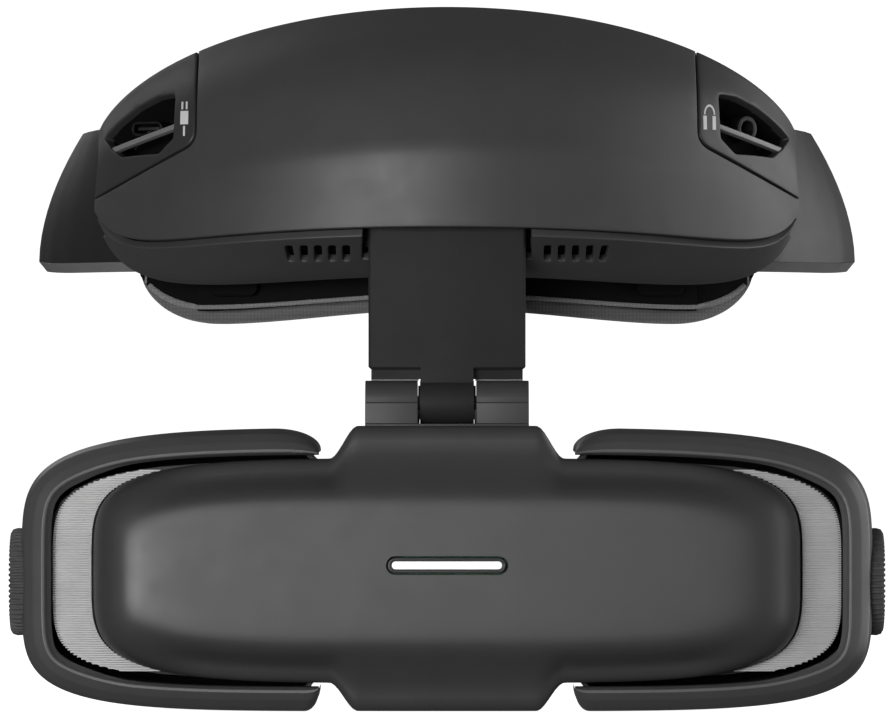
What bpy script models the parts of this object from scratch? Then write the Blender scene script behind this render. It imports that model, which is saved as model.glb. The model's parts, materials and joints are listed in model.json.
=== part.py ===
"""Head-worn FPV viewer: a forehead unit with a head band, and a flip-up visor on a sliding hinge plate.

Sizes are in millimetres in the constants and are turned into metres where a mesh is made. Heights are
measured from the visor hinge's axis. The empty "goggles" carries everything and stands CUSHION_RISE
below the origin, so the origin is the centre of the forehead cushion's rear face.
+X is the viewer's right as they face the visor, -Y is the front, +Z is up.
"""

import math

import bmesh
import bpy
from mathutils import Vector

MM = 0.001

# Driving dimensions
CUSHION_RISE = 46.0  # the forehead cushion's centre above the hinge axis
GAP = 0.4  # between parts that meet
SHELL_WALL = 2.2
REAR_WALL = 2.0
THIN_WALL = 1.8

HINGE_Y = -38.0
KNUCKLE_R = 4.8
PIN_R = 1.5
PIN_HOLE_R = 1.9
MIDDLE_KNUCKLE = 5.9  # half width
OUTER_KNUCKLES = (6.4, 17.9)  # from and to, each side of the middle
PLATE_HALF_WIDTH = 17.2
PLATE_Y = (-40.0, -36.5)
PLATE_Z = (7.3, 51.0)
PLATE_LIP_Y, PLATE_LIP_LOW = (-37.8, -36.7), 5.1
KNUCKLE_BOSS_R, KNUCKLE_BOSS_END = 3.7, 6.3

VISOR_Z = -36.5  # the visor's centre line
COVER_A, COVER_B, COVER_N = 76.8, 24.4, 4.4
TAB_HALF_WIDTH, TAB_FOOT = 19.4, 25.6
TAB_RISE, LOWER_TAB_RISE = 7.1, 6.1
RIM_A, RIM_B, RIM_N = 92.8, 30.8, 4.5
RIM_END_X, RIM_END_ROUND, LOWER_RIM_END_ROUND = 27.9, 6.6, 5.1
CHASSIS_A, CHASSIS_B = 86.6, 23.9
REAR_A, REAR_B, REAR_STEP = 90.2, 28.0, 4.3
VISOR_BACK_Y = -20.0

LIGHT_BAR_Z = -35.1
LIGHT_FRAME = (25.6, 3.3)
LIGHT_BAR = (24.4, 2.2)

IPD_HALF = 32.0
BARREL_R = 15.0
DIAL_Y, DIAL_Z, DIAL_R = -35.5, -39.3, 11.8
DIAL_X = (90.2, 95.6)
PINION_PITCH_R, PINION_TEETH = 4.0, 8
ROD_Y, ROD_DZ, ROD_R = -40.7, 19.0, 1.5

CUSHION_R, CUSHION_DEPTH, CARRIER_DEPTH = 85.0, 9.0, 3.0
CUSHION_SPANS = 15
CUSHION_HALF_ANGLE = math.radians(49)
CUSHION_END_SHARES = (0.91, 0.96, 0.985)  # extra sections where the ends round off

ARM_THICKNESS = 2.6
ARM_LOW, ARM_HIGH = 29.3, 62.0
ARM_LEAN, LEAN_FROM = 10.4, 32.5
ARM_END_Y = 130.0
STRAP_Z = (37.5, 54.0)
STRAP_THICKNESS = 1.8
LINER_THICKNESS = 1.4
REAR_PAD_Y = 190.0
REAR_HALF_WIDTH = 40.0

# Outlines: control points of the right half, from the middle outwards, as (x, y, z)
TOP_EDGE = [(0, -20, 87.5), (20.5, -18, 86.7), (41.3, -10.5, 83.1), (59.4, -0.5, 76.8),
            (71.3, 8.5, 69.4), (79.2, 17, 60.4)]
CROWN = [(0, -38, 74.4), (20.3, -36, 73.8), (40.8, -27.5, 70.7), (58.6, -14, 65.6),
         (70.5, -2, 60.3), (78.8, 10, 54.9)]
RIDGE = [(0, -46.5, 55.7), (22.2, -43.5, 54.5), (41.7, -34, 52.7), (57.3, -21.5, 50.0),
         (70.3, -7, 47.2), (79.4, 7, 45.7)]
LIP = [(0, -47, 38.3), (22.2, -44, 37.9), (41.6, -35.5, 37.2), (58.3, -23.5, 36.2),
       (71.2, -9, 36.5), (79.4, 5, 42.8)]
COVER_LIP = [(0, -46, 36.5), (22.2, -43, 36.1), (41.6, -34.5, 35.4), (58.3, -22.5, 34.4),
             (70.9, -8.2, 34.7), (78.8, 6.2, 41.0)]
VENT_EDGE = [(0, -31, 28.6), (22.4, -28.5, 28.5), (42.0, -20.5, 27.4), (58.8, -10, 26.5),
             (70.6, 1, 30.2), (77.2, 10, 37.7)]
LOWER_BACK = [(0, -18.8, 28.0), (22.6, -16.2, 27.8), (42.3, -8.8, 26.8), (59.2, 0.6, 26.2),
              (71.0, 9.7, 29.9), (78.0, 17.4, 37.3)]
REAR_WALL_LINE = [(0, -18.2, 0), (20.5, -16.2, 0), (41.2, -8.4, 0), (59.1, 2.6, 0),
                  (70.9, 12.0, 0), (78.8, 20.8, 0)]

LOOKS = {  # colour, roughness, metallic
    "shell": ((0.045, 0.045, 0.047), 0.45, 0.0),
    "dark_shell": ((0.025, 0.025, 0.027), 0.5, 0.0),
    "visor": ((0.075, 0.075, 0.078), 0.38, 0.0),
    "panel": ((0.33, 0.33, 0.34), 0.4, 0.0),
    "rubber": ((0.02, 0.02, 0.02), 0.8, 0.0),
    "fabric": ((0.03, 0.03, 0.032), 0.95, 0.0),
    "steel": ((0.6, 0.6, 0.62), 0.3, 1.0),
    "aluminium": ((0.55, 0.55, 0.57), 0.4, 1.0),
    "light": ((0.95, 0.95, 0.97), 0.3, 0.0),
    "glass": ((0.75, 0.85, 0.9), 0.05, 0.0),
    "board": ((0.02, 0.12, 0.06), 0.5, 0.0),
}

places = {}  # each empty's place, measured as the parts are


def mm(values):
    return Vector(values) * MM


def clear_scene():
    for obj in list(bpy.data.objects):
        bpy.data.objects.remove(obj, do_unlink=True)


def new_collection(name):
    collection = bpy.data.collections.new(name)
    bpy.context.scene.collection.children.link(collection)
    return collection


def axis_empty(name, place, parent=None):
    """An empty on a joint's axis. The first one carries the whole object."""
    empty = bpy.data.objects.new(name, None)
    empty.empty_display_size = 0.01
    PARTS.objects.link(empty)
    if parent is None:
        places[name] = Vector((0, 0, 0))
        empty.location = mm(place)
    else:
        empty.parent = parent
        places[name] = Vector(place)
        empty.location = (places[name] - places[parent.name]) * MM
    return empty


def add_piece(name, bm, look, parent, place=(0, 0, 0)):
    """A named object from a bmesh in millimetres around place, with its own material."""
    bmesh.ops.scale(bm, vec=(MM, MM, MM), verts=bm.verts)
    mesh = bpy.data.meshes.new(name)
    bm.to_mesh(mesh)
    bm.free()
    obj = bpy.data.objects.new(name, mesh)
    PARTS.objects.link(obj)
    obj.parent = parent
    obj.location = (Vector(place) - places[parent.name]) * MM
    colour, roughness, metallic = LOOKS[look]
    material = bpy.data.materials.new(name + "_material")
    material.use_nodes = True
    shader = material.node_tree.nodes["Principled BSDF"]
    shader.inputs["Base Color"].default_value = (*colour, 1)
    shader.inputs["Roughness"].default_value = roughness
    shader.inputs["Metallic"].default_value = metallic
    mesh.materials.append(material)
    mesh.shade_smooth()
    mesh.set_sharp_from_angle(angle=math.radians(35))
    return obj


def as_cutter(obj):
    """Moves a piece to the cutters, where it only shapes the others."""
    PARTS.objects.unlink(obj)
    CUTTERS.objects.link(obj)
    obj.hide_render = True
    obj.display_type = "WIRE"
    return obj


def boolean(obj, other, operation="DIFFERENCE"):
    modifier = obj.modifiers.new(operation.title(), "BOOLEAN")
    modifier.operation = operation
    modifier.solver = "EXACT"
    modifier.object = other


def solidify(obj, thickness):
    modifier = obj.modifiers.new("Solidify", "SOLIDIFY")
    modifier.thickness = thickness * MM
    modifier.offset = -1
    modifier.use_even_offset = True


def bevel(obj, width, segments=1):
    modifier = obj.modifiers.new("Bevel", "BEVEL")
    modifier.width = width * MM
    modifier.segments = segments
    modifier.limit_method = "ANGLE"


# Basic bodies, as bmeshes in millimetres

def box_body(x, y, z):
    """A box from its limits along each axis."""
    bm = bmesh.new()
    bmesh.ops.create_cube(bm, size=1)
    for vert in bm.verts:
        vert.co = Vector(span[0] if side < 0 else span[1] for span, side in zip((x, y, z), vert.co))
    return bm


def turned_body(profile, sides, axis="Y"):
    """A closed ring or disc from an (along, radius) profile. A radius of 0 closes it on the axis."""
    bm = bmesh.new()
    rings = []
    for along, radius in profile:
        if radius == 0:
            rings.append([bm.verts.new(turn_point(along, 0, 0, axis))])
            continue
        rings.append([bm.verts.new(turn_point(along, radius, 2 * math.pi * i / sides, axis))
                      for i in range(sides)])
    closed = profile[0][1] != 0
    pairs = list(zip(rings, rings[1:])) + ([(rings[-1], rings[0])] if closed else [])
    for first, second in pairs:
        for i in range(sides):
            j = (i + 1) % sides
            corners = [first[i % len(first)], first[j % len(first)],
                       second[j % len(second)], second[i % len(second)]]
            bm.faces.new(list(dict.fromkeys(corners)))
    bmesh.ops.recalc_face_normals(bm, faces=bm.faces)
    return bm


def turn_point(along, radius, angle, axis):
    across, up = radius * math.cos(angle), radius * math.sin(angle)
    return {"X": (along, across, up), "Y": (across, along, up), "Z": (across, up, along)}[axis]


def rod_body(radius, start, end, axis="Y", sides=20):
    return turned_body([(start, 0), (start, radius), (end, radius), (end, 0)], sides, axis)


def tube_body(inner, outer, start, end, axis="Y", sides=28):
    return turned_body([(start, inner), (start, outer), (end, outer), (end, inner)], sides, axis)


def skin_body(sections):
    """A solid through closed sections of equal point counts, capped at both ends."""
    bm = bmesh.new()
    rings = [[bm.verts.new(point) for point in section] for section in sections]
    count = len(rings[0])
    for first, second in zip(rings, rings[1:]):
        for i in range(count):
            j = (i + 1) % count
            bm.faces.new((first[i], first[j], second[j], second[i]))
    bm.faces.new(rings[0])
    bm.faces.new(rings[-1])
    bmesh.ops.recalc_face_normals(bm, faces=bm.faces)
    return bm


def prism_body(outline, start, end, axis="Y"):
    """A flat outline of (across, up) points, extruded along an axis."""
    def lifted(along):
        if axis == "X":
            return [(along, a, u) for a, u in outline]
        if axis == "Y":
            return [(a, along, u) for a, u in outline]
        return [(a, u, along) for a, u in outline]
    return skin_body([lifted(start), lifted(end)])


# Curves

def smooth_step(value):
    value = min(1.0, max(0.0, value))
    return value * value * (3 - 2 * value)


def spline_point(points, t):
    """The point at t, 0 to 1, on a Catmull-Rom curve through points."""
    spans = len(points) - 1
    place = min(max(t, 0) * spans, spans - 1e-9)
    i = int(place)
    f = place - i
    b, c = Vector(points[i]), Vector(points[i + 1])
    a = Vector(points[i - 1]) if i > 0 else 2 * b - c
    d = Vector(points[i + 2]) if i + 2 <= spans else 2 * c - b
    return 0.5 * (2 * b + (c - a) * f + (2 * a - 5 * b + 4 * c - d) * f ** 2
                  + (3 * b - a - 3 * c + d) * f ** 3)


def both_sides(points):
    return [(-x, y, z) for x, y, z in reversed(points[1:])] + points


def read_row(points, x):
    """The point of a row of control points at a given x, found by bisection."""
    low, high = 0.0, 1.0
    for _ in range(30):
        middle = (low + high) / 2
        if spline_point(points, middle).x < abs(x):
            low = middle
        else:
            high = middle
    return spline_point(points, low)


def lofted_sheet(rows, columns, bands, start=0.0, end=1.0):
    """An open sheet through rows of control points, smooth along and across, from start to end."""
    bm = bmesh.new()
    rows = [both_sides(row) for row in rows]
    grid = []
    for i in range(columns + 1):
        across = [spline_point(row, start + (end - start) * i / columns) for row in rows]
        grid.append([bm.verts.new(spline_point(across, j / bands)) for j in range(bands + 1)])
    for first, second in zip(grid, grid[1:]):
        for j in range(bands):
            bm.faces.new((first[j], first[j + 1], second[j + 1], second[j]))
    return bm


def superellipse_outline(a, b, n, flat_xs, corner_steps, raised, lowered):
    """A closed outline about (0, 0): given x places along its flats, even angles round its ends.

    raised(x) and lowered(x) say how far it stands out above and below the superellipse.
    """
    quarter = [(x, b * (1 - (x / a) ** n) ** (1 / n)) for x in flat_xs]
    start = math.acos((flat_xs[-1] / a) ** (n / 2))
    for step in range(1, corner_steps):
        angle = start * (1 - step / corner_steps)
        quarter.append((a * math.cos(angle) ** (2 / n), b * math.sin(angle) ** (2 / n)))
    right = [(x, z + raised(x)) for x, z in quarter] + [(a, 0.0)]
    right += [(x, -z - lowered(x)) for x, z in reversed(quarter)]
    return right + [(-x, z) for x, z in reversed(right) if 0.01 < x]


def ringed_sheet(rings):
    """An open bowl: rings of (x, y, z) points from the open edge inwards, closed by a flat face."""
    bm = bmesh.new()
    loops = [[bm.verts.new(point) for point in ring] for ring in rings]
    count = len(loops[0])
    for first, second in zip(loops, loops[1:]):
        for i in range(count):
            j = (i + 1) % count
            bm.faces.new((first[i], first[j], second[j], second[i]))
    bm.faces.new(loops[-1])
    bmesh.ops.recalc_face_normals(bm, faces=bm.faces)
    return bm


def stadium(width, height, steps=6):
    """A bar outline with round ends, as (across, up) points."""
    radius = height / 2
    reach = width / 2 - radius
    points = []
    for side, turn in ((1, -math.pi / 2), (-1, math.pi / 2)):
        for step in range(steps + 1):
            angle = turn + math.pi * step / steps
            points.append((side * reach + radius * math.cos(angle), radius * math.sin(angle)))
    return points


# Forehead unit

def housing_front(root):
    bm = lofted_sheet([TOP_EDGE, CROWN, RIDGE, LIP], 26, 7)
    shell = add_piece("housing_front_shell", bm, "shell", root)
    solidify(shell, SHELL_WALL)
    return shell


def bezel_outline(side, grow):
    """The port bezel's region in front view: an upright inner edge and a slanting lower one."""
    points = [(56 - grow, 100), (56 - grow, 60.5), (57.4 - grow, 57.6 - grow), (60.5, 55.4 - 1.2 * grow),
              (79.0, 46.0 - 1.2 * grow), (95, 38.0 - 1.2 * grow), (95, 100)]
    return [(side * x, z) for x, z in points]


def port_bezels(root, shell):
    for side, label in ((-1, "left"), (1, "right")):
        ends = (0.0, 0.3) if side < 0 else (0.7, 1.0)
        bm = lofted_sheet([TOP_EDGE, CROWN, RIDGE, LIP], 9, 7, *ends)
        bezel = add_piece("port_bezel_" + label, bm, "dark_shell", root)
        solidify(bezel, SHELL_WALL)
        region = as_cutter(add_piece("bezel_region_" + label,
                                     prism_body(bezel_outline(side, 0), -60, 60), "shell", root))
        boolean(bezel, region, "INTERSECT")
        room = as_cutter(add_piece("bezel_room_" + label,
                                   prism_body(bezel_outline(side, GAP), -61, 61), "shell", root))
        boolean(shell, room)
        window = [(60.5, 61.6), (60.2, 68.0), (61.6, 68.5), (76.8, 59.7), (75.8, 57.2)]
        window = [(side * x, z) for x, z in window]
        hole = as_cutter(add_piece("port_window_" + label, prism_body(window, -60, 60), "shell", root))
        boolean(bezel, hole)


def lower_cover(root):
    bm = lofted_sheet([COVER_LIP, VENT_EDGE, LOWER_BACK], 24, 4)
    cover = add_piece("housing_lower_cover", bm, "shell", root)
    solidify(cover, THIN_WALL)
    notch = as_cutter(add_piece("plate_notch", box_body((-18.6, 18.6), (-60, -35.6), (10, 60)),
                                "shell", root))
    boolean(cover, notch)
    for side in (-1, 1):
        for slot in range(5):
            x = 22.1 + 3.1 * slot
            y = read_row(VENT_EDGE, x).y - 6.4
            vent = add_piece("vent_{}_{}".format("right" if side > 0 else "left", slot + 1),
                             box_body((-0.85, 0.85), (-1.7, 1.7), (-5, 5)), "shell", root,
                             (side * x, y, 32.6))
            vent.rotation_euler = (math.radians(-45), 0, 0)
            as_cutter(vent)
            boolean(cover, vent)


def rear_wall(root):
    sections = []
    steps = 28
    for i in range(steps + 1):
        x = 78.4 * (2 * i / steps - 1)
        front = read_row(REAR_WALL_LINE, x).y
        low = read_row(LOWER_BACK, x).z + 2.4
        high = read_row(TOP_EDGE, x).z - 0.4
        back = front + REAR_WALL
        sections.append([(x, front, low), (x, back, low), (x, back, high), (x, front, high)])
    return add_piece("housing_rear_wall", skin_body(sections), "shell", root)


def plate_guide(root):
    guide = add_piece("plate_guide", box_body((-20.5, 20.5), (-41.9, -33.7), (39.5, 50)), "dark_shell", root)
    slot = as_cutter(add_piece("guide_slot", box_body((-17.6, 17.6), (-40.4, -36.1), (30, 60)),
                               "shell", root))
    boolean(guide, slot)


def electronics(root):
    add_piece("main_board", box_body((-38, 38), (-25.2, -23.6), (34, 66)), "board", root)
    fins = 7
    pitch, fin = 4.4, 1.6
    half = (fins - 1) * pitch / 2 + fin / 2
    outline = [(-half, -26.0), (half, -26.0)]
    for i in range(fins):
        x = half - pitch * i
        outline += [(x, -32.5), (x - fin, -32.5)]
        if i < fins - 1:
            outline += [(x - fin, -27.8), (x - pitch, -27.8)]
    add_piece("heat_sink", prism_body(outline, 40, 60, "Z"), "aluminium", root)
    turn = math.radians(38)
    usb_place, jack_place = (-65.8, 3.3, 61.2), (65.8, 3.3, 61.2)
    socket = add_piece("usb_c_socket", prism_body(stadium(9.0, 3.2), -2.6, 2.6), "steel", root, usb_place)
    mouth = as_cutter(add_piece("usb_c_mouth", prism_body(stadium(8.0, 2.2), -4, 1.8), "steel", root,
                                usb_place))
    boolean(socket, mouth)
    jack = add_piece("earphone_socket", rod_body(2.9, -2.6, 2.6), "dark_shell", root, jack_place)
    bore = as_cutter(add_piece("earphone_mouth", rod_body(1.8, -4, 1.8), "shell", root, jack_place))
    boolean(jack, bore)
    for piece, side in ((socket, -1), (mouth, -1), (jack, 1), (bore, 1)):
        piece.rotation_euler = (0, 0, side * turn)


def arc_sections(inner, outer, low, high, spans, half_angle, chamfer=0.0, extra=()):
    """Sections of a pad or plate that curves round the forehead. Its middle span lies across y."""
    centre = CUSHION_R * math.cos(half_angle / spans)
    shares = [2 * i / spans - 1 for i in range(spans + 1)] + [-share for share in extra] + list(extra)
    sections = []
    for share in sorted(shares):
        angle = half_angle * share
        bottom, top = low(angle), high(angle)
        profile = [(inner, bottom + chamfer), (inner, top - chamfer), (inner + chamfer, top),
                   (outer - chamfer, top), (outer, top - chamfer), (outer, bottom + chamfer),
                   (outer - chamfer, bottom), (inner + chamfer, bottom)]
        if chamfer == 0:
            profile = [profile[0], profile[1], profile[4], profile[5]]
        sections.append([(r * math.sin(angle), centre - r * math.cos(angle), z) for r, z in profile])
    return sections


def cushion_low(angle):
    share = abs(angle) / CUSHION_HALF_ANGLE
    end = min(1.0, max(0.0, share - 0.7) / 0.3)
    return 20.6 - 3.2 * smooth_step(share / 0.72) + 13.0 * (1 - math.sqrt(1 - end ** 2))


def cushion_high(angle):
    share = abs(angle) / CUSHION_HALF_ANGLE
    return 71.9 - 4.0 * share ** 2 - 10.0 * smooth_step((share - 0.7) / 0.3)


def forehead_pad(root):
    sections = arc_sections(CUSHION_R, CUSHION_R + CUSHION_DEPTH, cushion_low, cushion_high,
                            CUSHION_SPANS, CUSHION_HALF_ANGLE, 2.4, CUSHION_END_SHARES)
    add_piece("forehead_cushion", skin_body(sections), "fabric", root)
    front = CUSHION_R + CUSHION_DEPTH + GAP
    sections = arc_sections(front, front + CARRIER_DEPTH, lambda angle: cushion_low(angle) + 2.9,
                            lambda angle: cushion_high(angle) - 2.5, CUSHION_SPANS,
                            CUSHION_HALF_ANGLE * 0.72)
    add_piece("pad_carrier", skin_body(sections), "dark_shell", root)
    centre = CUSHION_R * math.cos(CUSHION_HALF_ANGLE / CUSHION_SPANS)
    carrier_r = front + CARRIER_DEPTH
    for side, label in ((-1, "left"), (1, "right")):
        sections = []
        for step in range(5):
            x = 42.5 + 2.6 * step
            near = read_row(REAR_WALL_LINE, x).y + REAR_WALL + GAP
            far = centre - math.sqrt(carrier_r ** 2 - x ** 2) - GAP
            sections.append([(side * x, near, 23.6), (side * x, far, 23.6),
                             (side * x, far, 40.0), (side * x, near, 40.0)])
        add_piece("pad_boss_" + label, skin_body(sections), "dark_shell", root)


# Head band

ARM_PATH = [(58.5, 0, 0), (64, 0, 0), (70, 0, 0), (75.5, 0, 0.02), (80.5, 27, 0.22), (86.5, 37, 0.6),
            (91.5, 48, 0.88), (94.6, 60, 1.0), (95.6, 75, 1.0), (95.6, 100, 1.0), (95.6, ARM_END_Y, 1.0)]


def lean_at(z):
    """How far the band leans in above its lower edge."""
    return ARM_LEAN * max(0.0, (z - LEAN_FROM) / 30.0) ** 1.8


def arm_station(i):
    """Lower outer corner of the arm in plan, and how much of the lean it has there."""
    x, y, share = ARM_PATH[i]
    if y == 0:
        y = read_row(REAR_WALL_LINE, x).y + REAR_WALL + 0.6
    return x, y, share


def plan_normal(points, i):
    """The unit normal, towards the head, of a plan path at point i."""
    before, after = points[max(i - 1, 0)], points[min(i + 1, len(points) - 1)]
    dx, dy = after[0] - before[0], after[1] - before[1]
    length = math.hypot(dx, dy)
    return -dy / length, dx / length


def band_sections(stations, low, high, thickness, inset, rows=4):
    """Sections of a leaning strip: its outer face stands inset inside the stations' line."""
    sections = []
    for i, (x, y, share) in enumerate(stations):
        nx, ny = plan_normal(stations, i)
        heights = [low(i) + (high(i) - low(i)) * k / rows for k in range(rows + 1)]
        outer = [(x + nx * (inset + share * lean_at(z)), y + ny * (inset + share * lean_at(z)), z)
                 for z in heights]
        inner = [(x + nx * (inset + thickness + share * lean_at(z)),
                  y + ny * (inset + thickness + share * lean_at(z)), z) for z in heights]
        sections.append(outer + inner[::-1])
    return sections


def mirrored(sections, side):
    return [[(side * x, y, z) for x, y, z in section] for section in sections]


def arms(root, wall):
    stations = [arm_station(i) for i in range(len(ARM_PATH))]
    last = len(stations) - 1

    def low(i):
        return ARM_LOW + 1.5 * smooth_step((i - 5) / (last - 5))

    def high(i):
        return ARM_HIGH - (3.0 if i < 3 else 0.0) - 5.0 * smooth_step((i - 8) / (last - 8))

    inner_from = 8
    channel = STRAP_THICKNESS + 2 * GAP
    for side, label in ((-1, "left"), (1, "right")):
        sections = mirrored(band_sections(stations, low, high, ARM_THICKNESS, 0), side)
        arm = add_piece("arm_" + label, skin_body(sections), "dark_shell", root)
        straight = stations[inner_from:]
        liner = band_sections(straight, lambda i: 34.0, lambda i: 56.5, LINER_THICKNESS,
                              ARM_THICKNESS + channel)
        piece = add_piece("arm_liner_" + label, skin_body(mirrored(liner, side)), "dark_shell", root)
        edge = add_piece("liner_edge_" + label,
                         skin_body(mirrored(band_sections(straight, lambda i: 34.0, lambda i: 36.6,
                                                          channel + 0.2, ARM_THICKNESS + GAP, 1), side)),
                         "dark_shell", root)
        as_cutter(edge)
        boolean(piece, edge, "UNION")
        x, z = side * 66.0, 45.0
        wall_y = read_row(REAR_WALL_LINE, 66.0).y
        screw_hole = as_cutter(add_piece("arm_screw_hole_" + label, rod_body(1.9, -6, 12), "shell", root,
                                         (x, wall_y, z)))
        boolean(arm, screw_hole)
        boolean(wall, screw_hole)
        add_piece("arm_screw_" + label, rod_body(1.5, -2.0, 5.4), "steel", root, (x, wall_y, z))


def rear_unit(band, dial):
    """The straps that slide in the arms, and the pad, cover and dial that they carry."""
    path = [(95.6, 84, 1.0), (95.6, 112, 1.0), (95.6, 140, 1.0), (94.6, 149, 0.92), (91.2, 159.5, 0.72),
            (85.0, 170, 0.46), (76.0, 180, 0.25), (64.8, 188.6, 0.1), (53.8, 194.8, 0.02),
            (43.5, 198.8, 0)]
    for side, label in ((-1, "left"), (1, "right")):
        sections = band_sections(path, lambda i: STRAP_Z[0] + 0.4, lambda i: STRAP_Z[1] - 0.4,
                                 STRAP_THICKNESS, ARM_THICKNESS + GAP)
        add_piece("rear_strap_" + label, skin_body(mirrored(sections, side)), "dark_shell", band)

    def plate(x_half, front, thickness, low, high, bow, spans=9):
        sections = []
        for i in range(spans + 1):
            x = x_half * (2 * i / spans - 1)
            flat = max(0.0, abs(x) - x_half / spans) / x_half
            y = front - bow * flat ** 2
            sections.append([(x, y, low), (x, y + thickness, low), (x, y + thickness, high), (x, y, high)])
        return skin_body(sections)

    add_piece("rear_pad", plate(REAR_HALF_WIDTH, REAR_PAD_Y, 7.5, 24, 62, 9), "fabric", band)
    add_piece("rear_base", plate(REAR_HALF_WIDTH, REAR_PAD_Y + 7.9, 2.6, 26, 60, 9), "dark_shell", band)
    cover = add_piece("rear_cover", plate(34.0, REAR_PAD_Y + 10.9, 7.0, 29, 57, 6.5), "shell", band)
    bevel(cover, 2.0, 2)
    well = as_cutter(add_piece("dial_well", rod_body(13.4, 0, 20, sides=32), "shell", band,
                               (0, REAR_PAD_Y + 13.4, 43.0)))
    boolean(cover, well)
    add_piece("adjuster_dial", toothed_disc(12.6, 0.5, 30, 0, 9.6, "Y"), "rubber", dial,
              (0, REAR_PAD_Y + 13.8, 43.0))


# Hinge

def hinge_plate(plate):
    body = add_piece("hinge_plate", box_body((-PLATE_HALF_WIDTH, PLATE_HALF_WIDTH), PLATE_Y, PLATE_Z),
                     "shell", plate)
    bevel(body, 0.5)
    tongue = as_cutter(add_piece("plate_tongue", box_body((-5.8, 5.8), PLATE_Y, (0, PLATE_Z[0] + 2)), "shell", plate))
    boolean(body, tongue, "UNION")
    lip = as_cutter(add_piece("plate_lip", box_body((-PLATE_HALF_WIDTH + 0.6, PLATE_HALF_WIDTH - 0.6),
                                                    PLATE_LIP_Y, (PLATE_LIP_LOW, PLATE_Z[0] + 1)),
                              "shell", plate))
    boolean(body, lip, "UNION")
    profile = [(KNUCKLE_BOSS_END, 0), (KNUCKLE_BOSS_END, KNUCKLE_BOSS_R), (MIDDLE_KNUCKLE, KNUCKLE_BOSS_R),
               (MIDDLE_KNUCKLE, KNUCKLE_R)]
    profile += [(-along, radius) for along, radius in reversed(profile)]
    knuckle = as_cutter(add_piece("plate_knuckle", turned_body(profile, 32, "X"), "shell", plate,
                                  (0, HINGE_Y, 0)))
    boolean(body, knuckle, "UNION")
    hole = as_cutter(add_piece("plate_pin_hole", rod_body(PIN_HOLE_R, -20, 20, "X", 24), "shell",
                               plate, (0, HINGE_Y, 0)))
    boolean(body, hole)
    add_piece("hinge_pin", rod_body(PIN_R, -17.4, 17.4, "X", 20), "steel", plate, (0, HINGE_Y, 0))


def hinge_bracket(visor):
    near, far = OUTER_KNUCKLES
    bar = add_piece("hinge_bracket", box_body((-far, far), (-43.9, -41.2), (-12.1, -4.6)), "shell", visor)
    for side, label in ((-1, "left"), (1, "right")):
        span = sorted((side * near, side * far))
        ear = as_cutter(add_piece("bracket_ear_" + label,
                                  box_body(span, (-43.5, -38.5), (-7.0, 0.0)), "shell", visor))
        boolean(bar, ear, "UNION")
        knuckle = as_cutter(add_piece("bracket_knuckle_" + label,
                                      rod_body(KNUCKLE_R, *span, "X", 32), "shell", visor,
                                      (0, HINGE_Y, 0)))
        boolean(bar, knuckle, "UNION")
    hole = as_cutter(add_piece("bracket_pin_hole", rod_body(PIN_HOLE_R, -20, 20, "X", 24), "shell",
                               visor, (0, HINGE_Y, 0)))
    boolean(bar, hole)
    for side, label in ((-1, "left"), (1, "right")):
        add_piece("bracket_screw_" + label, rod_body(1.7, -40.8, -39.4), "steel", visor,
                  (side * 12.0, 0, -9.0))


# Visor

FLAT_XS = [0.0, TAB_HALF_WIDTH, 20.8, 22.5, 24.2, TAB_FOOT, 38.0, 52.0]
REAR_FLAT_XS = [0.0, 28.0, 30.0, 31.7, 33.4, 35.0, 52.0]


def tab_shape(rise, foot=TAB_FOOT):
    """How far a tab with S-shaped shoulders stands out, as a function of x."""
    return lambda x: rise * smooth_step((foot - x) / (TAB_FOOT - TAB_HALF_WIDTH))


def cover_ring(inset, y, tab):
    """The front cover's outline set in by some distance, with a share of its two tabs."""
    a, b = COVER_A - inset, COVER_B - inset
    xs = [x * (a / COVER_A if x > TAB_FOOT else 1) for x in FLAT_XS]
    return [(x, y, VISOR_Z + z) for x, z in
            superellipse_outline(a, b, COVER_N, xs, 7, tab_shape(tab * TAB_RISE),
                                 tab_shape(tab * LOWER_TAB_RISE))]


def front_cover(visor):
    rings = [cover_ring(0, -47.6, 1), cover_ring(0, -50.9, 1), cover_ring(1.4, -52.7, 1),
             cover_ring(4.2, -54.9, 0.35), cover_ring(7.4, -58.9, 0), cover_ring(10.5, -60.0, 0)]
    cover = add_piece("front_cover", ringed_sheet(rings), "visor", visor)
    solidify(cover, THIN_WALL)
    slot = as_cutter(add_piece("light_slot",
                               prism_body(stadium(LIGHT_FRAME[0] + 2 * GAP, LIGHT_FRAME[1] + 2 * GAP), -70, -50),
                               "shell", visor, (0, 0, LIGHT_BAR_Z)))
    boolean(cover, slot)


def light_bar(visor):
    frame = add_piece("light_bar_frame", prism_body(stadium(*LIGHT_FRAME), -59.9, -56.0), "dark_shell",
                      visor, (0, 0, LIGHT_BAR_Z))
    pocket = as_cutter(add_piece("light_pocket", prism_body(stadium(*LIGHT_BAR), -70, -57.5), "shell",
                                 visor, (0, 0, LIGHT_BAR_Z)))
    boolean(frame, pocket)
    add_piece("light_bar", prism_body(stadium(LIGHT_BAR[0] - 0.7, LIGHT_BAR[1] - 0.7), -59.8, -57.9),
              "light", visor, (0, 0, LIGHT_BAR_Z))
    add_piece("light_board", box_body((-15, 15), (-55.6, -54.0), (LIGHT_BAR_Z - 4, LIGHT_BAR_Z + 4)),
              "board", visor)


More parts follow.
